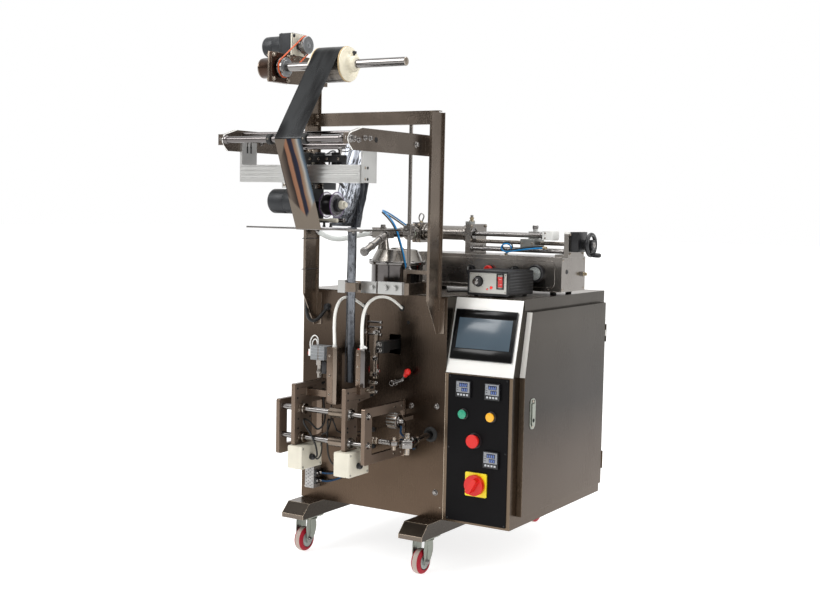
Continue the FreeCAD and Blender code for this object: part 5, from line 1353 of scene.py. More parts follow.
def unwinder():
    p = Piece("unwinder_cones", "unwinder", "chrome")
    p.lathe((338.2, *SHAFT), (1, 0, 0), [(0, 13.2), (0, 52.4), (2.2, 53.0), (4.4, 52.2), (4.4, 49.4)], TAN_RIM, 72, 0.4)
    p.lathe((341.6, *SHAFT), (1, 0, 0),
            [(0, 49.8), (1.8, 49.4), (3.0, 46), (4.6, 36), (7.0, 29), (11, 25.4), (16, 24.0), (26, 23.6),
                                             (27.5, 22.6), (27.5, 20.4), (31.4, 20.0), (32, 19), (32, 13.2)], CREAM,
            72, 0.5)
    p.lathe((243.2, *SHAFT), (-1, 0, 0), [(0, 13.2), (0, 52.4), (2.2, 53.0), (4.4, 52.2), (4.4, 49.4)], TAN_RIM, 72,
            0.4)
    p.lathe((240.0, *SHAFT), (-1, 0, 0),
            [(0, 49.8), (1.8, 49.4), (3.0, 46), (4.6, 36), (7.0, 29), (11, 25.4), (16, 24.0), (30, 23.6),
                                              (32.4, 22.4), (32.4, 13.2)], CREAM, 72, 0.5)
    for x in (360, 220):
        p.lathe((x, -257, 1577), (0.25 if x > 300 else -0.25, 0, 1),
                [(0, 4.0), (9, 4.0), (9, 6.4), (17, 6.4), (17, 3.4)], BLACK, 24, 0.4)
    p.lathe((544.2, *SHAFT), (1, 0, 0), [(0, 12.2), (1.2, 11.4), (1.2, 0)], BOLT, 48, 0.2)
    p.lathe((112.6, *SHAFT), (1, 0, 0), [(0, 29.6), (1.4, 29.2), (1.4, 22), (2.6, 21), (2.6, 13.1)], FACE_GREY, 64, 0.3)
    p.lathe((93.0, *SHAFT), (1, 0, 0), [(0, 14), (0, 30.2), (2.2, 31.0), (6.4, 31.0), (8.2, 29.0)], CHROME_SHADED, 64,
            0.4)
    p.lathe((90.7, *SHAFT), (1, 0, 0), [(0, 13.2), (0, 20), (1.6, 20), (2.8, 17.6)], CHROME, 48, 0.3)
    for k in range(4):
        t = math.radians(30 + 90 * k)
        p.socket_screw((114.0, -257 + 24.5 * math.cos(t), 1556 + 24.5 * math.sin(t)), (1, 0, 0), 2.6, 1.6, BOLT)
    p.done()
    p = Piece("motor_pulley_face", "motor_pulley", "aluminium")
    p.lathe((112.8, *MOTOR), (1, 0, 0),
            [(0, 27.9), (1.2, 27.5), (2.2, 26.1), (2.2, 8), (1.6, 7.4), (1.6, 3.0), (-3, 3.0)], FACE_GREY, 72, 0.3)
    p.lathe((96.2, *MOTOR), (1, 0, 0), [(0, 12), (0, 28.1), (3.4, 28.1), (6.4, 26.3)], CHROME_SHADED, 72, 0.3)
    p.lathe((83.6, *MOTOR), (1, 0, 0), [(0, 6.2), (0, 12.6), (3, 12.6), (3, 15.6), (9, 15.6), (9, 12.6), (13, 12.6)],
            BLACK, 48, 0.4)
    p.socket_screw((89.6, -149, 1651.4), (0, 0, 1), 3.0, 2.4, BOLT)
    p.done()
    p = Piece("motor_details", "cabinet", "charcoal_paint")
    p.lathe((-48.6, *MOTOR), (1, 0, 0),
            [(0, 0), (0, 18), (2.0, 26), (6.4, 30.6), (12, 32.6), (40, 32.6), (40, 31.8), (42, 31.8), (42, 32.8),
                                             (74, 32.8)], CHARCOAL, 72, 0.6)
    p.box((25.4, 71), (-185.6, -112.4), (1603.4, 1672.6), CHARCOAL, 4.5, 4)
    p.box((34, 36), (-186, -112), (1603, 1673), BLACK_PAINT, 4.5, 3)
    p.box((70.8, 78.4), (-185.4, -112.6), (1575.6, 1672.4), IVORY, 3.0, 3)
    for y, z in ((-121, 1614), (-177, 1664), (-121, 1664), (-177, 1600)):
        p.lathe((78.2, y, z), (1, 0, 0), [(0, 6.0), (0.8, 6.0), (0.8, 4.6), (3.4, 4.2), (3.4, 0)], CHARCOAL, 24, 0.3)
    p.lathe((78.2, *MOTOR), (1, 0, 0), [(0, 18), (2, 18), (3, 15), (3, 8)], ALU_DARK, 48, 0.4)
    p.tube([(-16, -149, 1603.4), (-18, -146, 1590), (-10, -130, 1580), (10, -110, 1572), (32, -70, 1560),
            (45, -40, 1548), (48, -24, 1520)],
           3.0, BLACK_HOSE, 12)
    p.done()
    p = Piece("roll_arm_details", "cabinet", "panel_steel")
    p.lathe((23.4, *SHAFT), (1, 0, 0), [(0, 0), (0, 26), (2, 30), (5, 31.6), (46, 31.6), (46, 33.2), (51, 33.2)],
            HOUSING, 72, 0.6)
    p.box((81.4, 90.6), (-302.6, -211.4), (1510.4, 1601.6), HOUSING, 3.0, 3)
    p.box((74.6, 82.0), (-303.4, -210.6), (1509.8, 1602.2), FRAME_STEEL, 2.0, 2)
    for y in (-293, -221):
        for z in (1520, 1592):
            p.hex_bolt((90.6, y, z), (1, 0, 0), 9.5, 5, BOLT)
            p.hex_bolt((74.4, y, z), (-1, 0, 0), 9.5, 6, BOLT)
    for y, z in ((-30, 1545), (-30, 1585), (-60, 1545), (-60, 1585), (-150, 1592), (-180, 1592)):
        p.socket_screw((82.2, y, z), (1, 0, 0), 4.0, 2.4, BOLT)
    p.done()
    p = Piece("drive_belt_round", "cabinet", "orange_belt")
    c1, c2, r1, r2 = (-257, 1556), (-149, 1636), 29.4, 27.4
    span = math.hypot(c2[0] - c1[0], c2[1] - c1[1])
    turn = math.degrees(math.atan2(c2[1] - c1[1], c2[0] - c1[0]))
    lean = math.degrees(math.acos((r1 - r2) / span))
    loop = arc(c2, r2, turn + lean, turn - lean, 30)
    loop += between(loop[-1], arc(c1, r1, turn - lean, turn - lean, 1)[0], 10)
    loop += arc(c1, r1, turn - lean, turn + lean - 360, 30)
    loop += between(loop[-1], loop[0], 10)
    p.tube([(104, y, z) for y, z in loop], 2.3, BELT, 14, closed=True, steps=2)
    p.lathe((104, *loop[33]), (0, loop[34][0] - loop[33][0], loop[34][1] - loop[33][1]),
            [(0, 2.4), (0.8, 2.9), (1.6, 2.4)], BELT, 16, 0.0)
    p.done("drive_belt")


unwinder()


def arms():
    p = Piece("arm_details", "cabinet", "panel_steel")
    for x in (51, 500):
        s = 1
        for y in (-470,):
            p.lathe((x, y, 1325), (s, 0, 0), [(0, 12), (2, 12), (2, 8.2), (6, 7.6), (6, 3)], CHROME, 40, 0.5)
        # Pale lines along each arm's rounded edge: painted highlight.
        p.tube([(x - 0.4, -413, 1357.4), (x - 0.4, -445, 1348), (x - 0.4, -470, 1340), (x - 0.4, -480, 1330),
                (x - 0.4, -481, 1322),
                (x - 0.4, -478, 1312), (x - 0.4, -470, 1304), (x - 0.4, -458, 1293.4)], 1.3, POLISHED, 8)
        p.tube([(x - 8, -413, 1358), (x - 8, -445, 1348.6), (x - 8, -470, 1340.6), (x - 8, -481, 1330.4),
                (x - 8, -482, 1322)], 0.5, POLISHED, 6)
    for y, z, r in ((-452, 1325, 6.4), (-398, 1330, 5.4), (-372, 1330, 5.4), (-120, 1325, 7), (-430, 1322, 5.4)):
        p.lathe((500, y, z), (1, 0, 0),
                [(0, r * 1.5), (1.2, r * 1.5), (1.2, r * 1.05), (6.5, r), (7.4, r * 0.7), (7.4, 0)], CHROME, 32, 0.3)
    # A near-black disc for the hole in the arm: painted shade.
    p.lathe((500.2, -340, 1327), (1, 0, 0), [(0, 8), (0.4, 7.6), (0.2, 0)], HOLE_SHADE, 28, 0.0)
    for x0, x1 in ((51, 51.6),):
        p.hex_bolt((51, -300, 1325), (1, 0, 0), 12, 7, CHROME)
    for x in (52.6, 468):
        p.lathe((x, -470, 1325), (1, 0, 0), [(0, 9.8), (0, 12.4), (4, 13.0), (10, 12.4), (12, 10.2)], CHROME_SHADED, 44,
                0.4)
    for y in (-40, -60):
        for z in (1312, 1338):
            p.hex_bolt((500, y, z), (1, 0, 0), 10, 6, BOLT)
            p.hex_bolt((51, y, z), (1, 0, 0), 10, 6, BOLT)
    for x in (54, 519):
        for z in (1402, 1424):
            p.hex_bolt((x + (8 if x < 300 else -12), -25.2, z), (0, -1, 0), 8, 4, BOLT)
    p.done()
    p = Piece("roller_collars", "front_roller", "chrome")
    for x in (214.6, 340.6):
        p.lathe((x, -470, 1325), (1, 0, 0),
                [(0, 9.7), (0, 14.4), (1.6, 15.0), (12.2, 15.0), (13.8, 14.4), (13.8, 9.7)], RUBBER, 48, 0.6)
        p.socket_screw((x + 7, -484.8, 1325), (0, -1, 0), 2.2, 0.8, BOLT)
    p.done()
    p = Piece("alu_frame_details", "cabinet", "aluminium")
    # Near-black discs in the frame: painted shade.
    for z in (1214, 1246):
        for y in (-388, -376):
            p.lathe((497.0, y, z), (1, 0, 0), [(0, 4.4), (0.5, 4.2), (0.3, 2.2), (0.1, 0)],
                    HOLE_SHADE if y > -380 else BOLT, 24, 0.0)
    for x0, x1 in ((59.5, 488.5),):
        for z, h in ((1253.2, 1.2), (1202.9, 1.2)):
            p.box((x0, x1), (-404.2, -383.8), (z, z + h), ALUMINIUM, 0.4)
        for z in (1218.4, 1231.2, 1243.6):
            p.box((x0, x1), (-404.4, -403.6), (z, z + 8.0), ALUMINIUM, 0.35)
    # Near-black slots in the frame: painted shade.
    for y in (-375, -358):
        p.box((50.4, 59.6), (y - 3.2, y + 3.2), (1289.4, 1310), HOLE_SHADE, 0.8)
    p.box((214, 233), (-405.4, -399), (1186.4, 1206), ALUMINIUM, 1.0)
    p.socket_screw((223.5, -405.4, 1195), (0, -1, 0), 4, 2.4, BOLT)
    p.done()


arms()


def coder():
    p = Piece("date_coder_motor", "cabinet", "machine_black")
    p.lathe((141.4, -352, 1148), (1, 0, 0),
            [(0, 0), (0, 26), (3, 33), (8, 36.4), (60, 36.4), (60, 35.6), (62, 35.6), (62, 36.6), (91, 36.6)],
            CHARCOAL, 72, 0.8)
    p.box((231, 252.6), (-388, -316), (1112, 1184), CHARCOAL, 4, 3)
    p.box((251.6, 262.6), (-384, -261), (1088.4, 1291), BLACK_PAINT, 2, 2)
    p.box((261.4, 301), (-383.4, -372.4), (1214, 1291), BLACK_PAINT, 1.5, 2)
    p.box((262, 421), (-382.6, -370.4), (1262.6, 1282.6), BLACK_PAINT, 1.5, 2)
    for x in (274, 300, 330, 360, 400):
        p.socket_screw((x, -383, 1272), (0, -1, 0), 3.6, 3, BOLT)
    p.lathe((312, -352, 1292), (0, 0, -1), [(0, 8), (0, 15), (4, 16), (60, 16), (62, 12), (62, 0)], BLACK, 40, 0.8)
    p.lathe((312, -352, 1240), (0, 0, -1), [(0, 6), (30, 6), (30, 8), (34, 8), (34, 0)], CHROME, 30, 0.4)
    p.box((299.4, 340.6), (-361, -299.4), (1207.4, 1255.6), ALU_DARK, 2, 3)
    p.box((302, 338), (-366, -360), (1212, 1250), POLISHED, 1.5, 2)
    p.box((304, 336), (-364, -302), (1184, 1204), CHARCOAL, 1.5, 2)
    p.box((306, 334), (-367, -361), (1186, 1202), BRIGHT, 1.0, 2)
    for x in (308, 332):
        p.socket_screw((x, -366, 1244), (0, -1, 0), 2.8, 2.2, BOLT)
        p.lathe((x, -332, 1255), (0, 0, 1), [(0, 3), (22, 3), (22, 4.6), (27, 4.6), (27, 0)], CHROME, 24, 0.3)
    p.lathe((296, -364, 1262), (0, -1, 0), [(0, 6), (8, 6), (8, 8), (13, 7), (13, 0)], IVORY, 28, 0.5)
    p.tube([(318, -366, 1262), (330, -372, 1266), (345, -372, 1256), (356, -366, 1240), (362, -360, 1228)], 3.4,
           CHROME, 10)
    p.box((351.4, 366.6), (-351, -321.4), (1239.4, 1292.6), BLACK_PAINT, 2, 2)
    p.lathe((366, -336, 1262), (1, 0, 0),
            [(0, 15), (3, 15), (5, 12), (12, 12), (12, 14.5), (20, 14.5), (22, 12), (22, 0)], CHARCOAL, 40, 0.6)
    p.lathe((372, -336, 1290), (0.2, -0.3, 1), [(0, 5), (10, 5), (10, 7), (16, 7), (16, 0)], CHROME, 28, 0.4)
    ring = [(402 + 18 * math.cos(t), -352 + 2 * math.sin(3 * t), 1300 + 6.0 * math.sin(t)) for t in turns(18)]
    p.tube(ring, 1.6, CHROME, 8, closed=True, steps=3)
    p.tube([(340, -340, 1240), (352, -344, 1228), (366, -344, 1216), (378, -340, 1204), (384, -330, 1190)], 4.4,
           BLACK, 12)
    p.tube([(268, -330, 1212), (270, -336, 1190), (274, -338, 1168), (272, -336, 1146), (268, -332, 1128),
            (272, -326, 1108)], 3.6, BRASS, 10)
    spring = [(276 + 6 * math.cos(2 * math.pi * k / 8), -344 + 6 * math.sin(2 * math.pi * k / 8),
               1206 - 1.1 * k) for k in range(60)]
    p.tube(spring, 1.1, CHROME, 6, steps=2)
    p.lathe((262, *SPOOL), (1, 0, 0), [(0, 12), (14, 12), (14, 8), (22, 8), (22, 5.2)], BLACK, 36, 0.5)
    p.lathe((366.2, *SPOOL), (1, 0, 0), [(0, 5.4), (0, 7.6), (6, 7.6), (7, 6.4), (7, 0)], IVORY, 30, 0.4)
    for y in (-326, -290):
        p.lathe((262, y, 1094), (1, 0, 0), [(0, 4.2), (70, 4.2), (70, 6.4), (96, 6.4), (98, 5), (98, 0)],
                IVORY if y < -300 else CHROME, 28, 0.4)
    p.lathe((286, -330, 1103), (0, -1, 0), [(0, 6), (6, 6), (6, 9), (16, 9), (18, 7), (18, 0)], IVORY, 28, 0.6)
    p.box((262, 330), (-338, -326), (1087, 1092), CHROME, 1.2, 2)
    for x in (292, 316, 340):
        p.lathe((x, -332, 1087), (0, 0, -1), [(0, 3.6), (9, 3.6), (9, 5), (13, 4.4), (13, 0)], BLACK, 20, 0.4)
    p.tube([(262, -276, 1270), (240, -270, 1282), (200, -262, 1290), (150, -250, 1288), (110, -220, 1284),
            (80, -160, 1290), (62, -90, 1288), (58, -60, 1270)], 3.2, BLACK_HOSE, 10)
    p.tube([(300, -300, 1290), (296, -270, 1300), (280, -230, 1300), (240, -190, 1296), (180, -160, 1296),
            (110, -120, 1296), (70, -70, 1290)],
           2.2, BLACK_HOSE, 10)
    p.done("date_coder")
    p = Piece("ribbon_spool_flanges", "ribbon_spool", "black_plastic")
    for x in (301, 339):
        rim = [(x, -300 + 37.4 * math.cos(a), 1140 + 37.4 * math.sin(a)) for a in turns(48)]
        p.tube(rim, 1.3, PURPLE, 8, closed=True, steps=1)
    p.lathe((302.4, *SPOOL), (1, 0, 0), [(0, 21.4), (0, 31), (34.6, 31), (34.6, 21.4)], BLACK, 64, 0.5)
    p.lathe((340.8, *SPOOL), (1, 0, 0),
            [(0, 21.4), (8, 21.4), (11.8, 19), (11.8, 11), (25, 10.6), (25.6, 9), (25.6, 5.3)], BLACK, 48, 0.5)
    p.lathe((352.4, *SPOOL), (1, 0, 0), [(0, 12.6), (3, 13), (12, 12.0), (14, 10.4)], IVORY, 40, 0.5)
    p.done()
    p = Piece("forming_plate_details", "cabinet", "bright_steel")
    p.box((57.6, 485.4), (-375.4, -372.6), (1066.4, 1071.5), CHROME, 1.0, 2)
    p.lathe((393, 20, 1400), (0, 0, 1), [(0, 8), (0, 8), (14, 8), (17, 6), (17, 0)], CHROME, 30, 0.5)
    p.lathe((393, 20, 938), (0, 0, 1), [(0, 12), (5, 12), (6, 8), (12, 8), (12, 6.2)], CHROME, 30, 0.4)
    p.hex_bolt((408, 20, 1064), (1, 0, 0), 10, 6, CHROME)
    p.hex_bolt((393, 6, 1064), (0, -1, 0), 10, 6, CHROME)
    p.lathe((393, 20, 1081), (0, 0, 1), [(-2, 9.5), (4, 9.5), (5, 7), (5, 6.3)], BRIGHT_Z, 30, 0.4)
    for y in (-240, -200, -80):
        p.hex_bolt((358, y, 1061), (0, 0, -1), 8, 4, CHROME)
    p.done()


coder()


# ---------------------------------------------------------------- filler, drum and power box
THREAD = surface("lead_screw", "#8d8378", 0.24, 1.0, None, 0.12, 30.0, 0.06, "#cfc6bb")
SILVER_FACE = surface("silver_face", "#c9c8c2", 0.42, 0.55, "x", 0.04, 10.0, 0.05, "#e8e7e2", grain_tone=0.03)
GASKET = surface("pale_gasket", "#b9c4ae", 0.55, 0.0, None, 0.12, 30.0, 0.06, None)


def ring_loop(x, z, corner, steps=6):
    """A rounded rectangle of (x, z) points."""
    out = []
    for cx, cz, start in ((x[1] - corner, z[1] - corner, 0), (x[0] + corner, z[1] - corner, 90),
                          (x[0] + corner, z[0] + corner, 180), (x[1] - corner, z[0] + corner, 270)):
        for k in range(steps + 1):
            a = math.radians(start + 90 * k / steps)
            out.append((cx + corner * math.cos(a), cz + corner * math.sin(a)))
    return out


def filler_box_details():
    """Seams, gauge, dial collars, screws, side fittings and feet of the filler's box."""
    p = Piece("filler_box_details", "cabinet", "bright_steel")
    gauge_x, gauge_z = 711, 933
    border = [(x, 289.9, z) for x, z in ring_loop((262, 774), (889, 974), 14)]
    p.tube(border, 1.3, BRIGHT, 8, closed=True, steps=1)
    for z in (876.4, 986.4):
        p.tube([(239, 290.4, z), (797, 290.4, z)], 1.2, BRIGHT, 8, steps=0)
    p.tube([(797.6, 290.6, 877), (797.6, 290.6, 986)], 1.4, BRIGHT, 8, steps=0)
    p.lathe((gauge_x, 290.2, gauge_z), (0, -1, 0),
            [(0, 28.5), (3, 29.0), (15, 28.0), (18, 26.0), (18, 21.8), (15.6, 21.0)], BLACK, 64, 0.5)
    p.lathe((gauge_x, 274.6, gauge_z), (0, -1, 0), [(0, 21.4), (0.4, 21.0), (0.4, 0)], WHITE, 56, 0.0)
    for k in range(19):
        a = math.radians(-40 + 14.4 * k)
        inner = 15.5 if k % 3 == 0 else 17.2
        p.tube([(gauge_x + inner * math.cos(a), 273.9, gauge_z + inner * math.sin(a)),
                (gauge_x + 19 * math.cos(a), 273.9, gauge_z + 19 * math.sin(a))],
               0.45 if k % 3 else 0.7, GLOSS_BLACK, 6, steps=0)
    p.tube([(gauge_x + 5, 273.6, gauge_z - 4), (gauge_x - 13, 273.6, gauge_z + 9)], 0.7, GLOSS_BLACK, 6, steps=0)
    p.lathe((gauge_x, 274.0, gauge_z), (0, -1, 0), [(0, 3), (1.4, 2.6), (1.6, 0)], BOLT, 24, 0.2)
    p.lathe((gauge_x, 272.9, gauge_z), (0, -1, 0), [(0, 21.4), (1.0, 21.2), (1.0, 0)], CLEAR, 48, 0.2)
    for x, z in ((469, 934), (540, 937), (632, 937)):
        p.lathe((x, 290.2, z), (0, -1, 0), [(0, 17.5), (2.2, 17.2), (2.8, 15.4), (0.4, 14.6)], BLACK, 44, 0.4)
    for x in (284, 752):
        for z in (883, 980):
            p.socket_screw((x, 290.0, z), (0, -1, 0), 2.4, 1.4, BOLT)
    for y, z in ((300, 884), (460, 884), (300, 978), (460, 978)):
        p.pan_screw((798.0, y, z), (1, 0, 0), 3.4, BOLT)
    p.lathe((798.0, 330, 940), (1, 0, 0), [(0, 7.4), (1.6, 7.0), (1.6, 4.2), (0.6, 4.0), (0.6, 0)], BLACK, 32, 0.3)
    p.lathe((804.4, 446, 930), (1, 0, 0),
            [(0, 6.8), (3, 6.8), (3.6, 5.2), (6, 5.8), (8, 5.0), (10.4, 5.6), (12, 3.6), (12, 0)], BRASS, 30, 0.3)
    for x in (280, 755):
        for y in (323, 440):
            p.lathe((x, y, 864.2), (0, 0, 1), [(0, 9.4), (4, 10.2), (9, 11.0), (12, 10)], RUBBER, 32, 0.5)
    p.done()


def filler_barrel_details():
    """Clamps, bolts, valve and outlet fittings of the filler's barrel and its end plates."""
    p = Piece("filler_barrel_details", "cabinet", "bright_steel")
    for x, w, r in ((268, 10, 28.5), (290, 6, 26.0), (426, 11.8, 28.0)):
        p.lathe((x, 324, 1054), (1, 0, 0),
                [(0, 23.6), (0.4, r - 1), (1.4, r), (w - 1.4, r), (w - 0.4, r - 1), (w, 23.6)], BRIGHT, 60, 0.4)
    for y, z in ((306, 1078), (306, 1032), (404, 1078), (404, 1000), (306, 1000)):
        p.socket_screw((458.2, y, z), (1, 0, 0), 4.2, 4.0, BOLT)
    p.lathe((458.1, 324, 1054), (1, 0, 0), [(0, 21), (2.4, 21), (3.2, 19.6), (3.2, 17.4), (0.2, 17.0)], CHROME, 52, 0.4)
    p.box((437.4, 458.6), (301.4, 330), (1084.6, 1094), ALU_DARK, 1.5)
    p.lathe((448, 326, 1094), (0, 0, 1),
            [(0, 9.6), (3, 9.6), (3, 6), (8, 6), (8, 7.4), (13, 7.4), (14, 4), (20, 4), (21, 3), (21, 0)], BRASS, 30,
            0.3)
    for y, z in ((310, 1005), (390, 1005)):
        for x, d in ((458.2, 1), (803.8, -1)):
            p.lathe((x, y, z), (d, 0, 0), [(0, 7.2), (0, 11), (6, 11), (7, 10), (7, 7.2)], CHROME, 40, 0.4)
    for y, z in ((300, 1060), (400, 1060), (300, 1000), (400, 1000)):
        p.socket_screw((820.2, y, z), (1, 0, 0), 3.6, 3.0, BOLT)
    p.box((803.2, 820.8), (288.4, 410.6), (1062, 1069.6), POLISHED, 1.2)
    p.box((819.8, 849.6), (298.4, 366.6), (1005.4, 1069.6), BLACK, 5, 3)
    p.lathe((849, *SCREW), (1, 0, 0), [(0, 12.4), (0, 20), (1.2, 20.6), (1.2, 12.4)], BLACK, 44, 0.0)
    for x, y, z in ((252, 294.0, 1076), (252, 294.0, 1026)):
        p.hex_bolt((x - 10, y, z), (0, -1, 0), 9, 5, BOLT)
        p.hex_bolt((x + 10, y, z), (0, -1, 0), 9, 5, BOLT)
    for y, r in ((284, 19), (264.3, 25.4), (247, 25.4), (200, 17), (100, 17.6)):
        p.lathe((252, y, 1052), (0, -1, 0),
                [(0, 15.1), (0.3, r - 0.8), (1.2, r), (4.2, r), (5.2, r - 0.8), (5.4, 15.1)], BRIGHT, 52, 0.3)
    p.lathe((252, 251.8, 1052), (0, -1, 0), [(0, 15.2), (0, 23.4), (4.0, 23.4), (4.0, 15.2)], GASKET, 48, 0.2)
    p.tube([(252, 324, 1086), (243, 324, 1098), (246, 324, 1112), (254, 324, 1116), (262, 324, 1108),
            (258, 324, 1096)], 2.4, CHROME, 10,
           closed=True, steps=5)
    p.lathe((252, 324, 1084), (0, 0, 1), [(0, 8), (4, 8), (4, 5), (8, 5), (8, 0)], BRASS, 30, 0.3)
    p.box((228, 236.4), (304, 344), (1030, 1074), GREY_VALVE, 1.5)
    p.lathe((228, 324, 1052), (-1, 0, 0), [(0, 14), (4, 15), (28, 15), (30, 13), (30, 0)], ALUMINIUM, 48, 0.5)
    for z in (1040, 1064):
        p.lathe((210, 309.5, z), (0, -1, 0), [(0, 4.5), (6, 4.5), (6, 5.6), (11, 5.6), (12, 4)],
                NAVY if z > 1050 else BRASS, 24, 0.3)
    elbow = [(268 + 14 * math.cos(a), 61 + 2 * math.sin(a), 1051 + 14 * math.sin(a)) for a in turns(14)]
    p.tube(elbow, 1.8, CHROME, 8, closed=True, steps=2)
    axis = Vector((0.06, -0.93, -0.36)).normalized()
    start = Vector((286, 50, 1048))
    for along, r, w in ((2, 15.5, 5), (40, 13.6, 6), (92, 13.2, 6), (141, 14.4, 9)):
        here = start + axis * along
        p.lathe(here, axis, [(0, 11.1), (0.4, r), (w - 0.4, r), (w, 11.1)], CHROME, 44, 0.4)
    p.box((236, 268), (44, 78), (1064.6, 1070), BRIGHT, 1.5)
    p.hex_bolt((268, 61, 1070), (0, 0, 1), 14, 8, CHROME)
    p.done()


def lead_screw_thread():
    """Thread on the stroke screw, and the handwheel's hub, rim and handle."""
    p = Piece("lead_screw_thread", "handwheel", "chrome")
    profile = [(0, 5.4)]
    for k in range(108):
        profile += [(4.0 * k + 1.0, 6.9), (4.0 * k + 2.0, 6.9), (4.0 * k + 3.0, 5.8), (4.0 * k + 4.0, 5.8)]
    p.lathe((462, *SCREW), (1, 0, 0), [q for q in profile if q[0] < 178] + [(178, 5.4)], THREAD, 28, 0.0)
    p.lathe((700, *SCREW), (1, 0, 0), [q for q in profile if q[0] < 100] + [(100, 5.4)], THREAD, 28, 0.0)
    p.lathe((858, *SCREW), (1, 0, 0), [(0, 17), (2, 18.5), (10, 18.5), (12, 16.4), (27, 16.4), (28.5, 14), (28.5, 0)],
            BLACK, 48, 0.6)
    p.lathe((884.6, *SCREW), (1, 0, 0), [(0, 9), (3.6, 9), (5, 7), (5, 0)], CHROME, 36, 0.3)
    rim = [(876, 336 + 33 * math.cos(a), 1029 + 33 * math.sin(a)) for a in turns(40)]
    p.tube(rim, 6.5, BLACK, 16, closed=True, steps=1)
    p.lathe((884, 330, 997), (1, 0, 0),
            [(0, 4), (2, 7), (5, 6.4), (13, 7.4), (22, 7.2), (26, 6.6), (28.4, 4.4), (28.6, 0)], BLACK, 36, 0.6)
    p.done()


def crosshead_and_stop_details():
    """Fittings of the piston's crosshead and of the travelling stop."""
    p = Piece("crosshead_details", "filler_piston", "white_sleeve")
    p.box((721.4, 758.6), (299.4, 348.6), (1039.6, 1070.6), WHITE, 2.0, 3)
    for z in (1047, 1063):
        p.socket_screw((732, 299.2, z), (0, -1, 0), 2.8, 1.6, BOLT)
    p.lathe((708, 324, 1054), (1, 0, 0), [(0, 8.2), (0, 11), (12, 11), (13, 10)], CHROME, 40, 0.4)
    p.done()
    p = Piece("stop_details", "filler_stop", "aluminium")
    p.box((643.4, 694.6), (299.4, 372), (1013.6, 1042.4), ALU_DARK, 2.0, 3)
    p.lathe((669, 357, 1074), (0, 0, 1), [(0, 8.4), (2, 9.8), (10, 9.8), (12, 8), (12, 0)], CHROME, 36, 0.5)
    for x in (652, 686):
        p.socket_screw((x, 299.2, 1028), (0, -1, 0), 3.2, 2.0, BOLT)
    p.done()


def drum_and_dials():
    """The drum's rims and the marks on the filler's two dials."""
    p = Piece("drum_details", "cabinet", "bright_steel")
    p.lathe((293, 110, 864.2), (0, 0, 1), [(0, 84.4), (0, 88.0), (4, 88.4), (6, 85), (6, 84.2)], CHROME, 88, 0.3)
    p.lathe((293, 110, 950), (0, 0, 1), [(0, 84.2), (1, 91), (3, 92.4), (10, 92.4), (12, 91), (13, 86)], CHROME, 88,
            0.5)
    p.lathe((293, 110, 996), (0, 0, 1), [(0, 66.4), (2, 66), (3.4, 62), (5, 22), (8, 20.4), (9, 14)], BRIGHT_Z, 72, 0.6)
    for k in range(8):
        t = math.radians(22 + 45 * k)
        p.hex_bolt((293 + 89 * math.cos(t), 110 + 89 * math.sin(t), 962), (0, 0, 1), 7, 4, CHROME, washer=False)
    p.done()
    for k, (x, z, name) in enumerate(((469, 934, "filler_left_dial"), (632, 937, "filler_right_dial"))):
        p = Piece("dial_mark_%d" % k, name, "black_plastic")
        p.lathe((x, 289.2, z), (0, -1, 0), [(0, 12), (0.4, 13.6), (6.6, 13.2), (8.4, 11.6), (8.4, 0)], BLACK, 40, 0.4)
        p.box((x - 0.8, x + 0.8), (268.8, 269.9), (z + 1, z + 12), WHITE, 0.2)
        p.done()


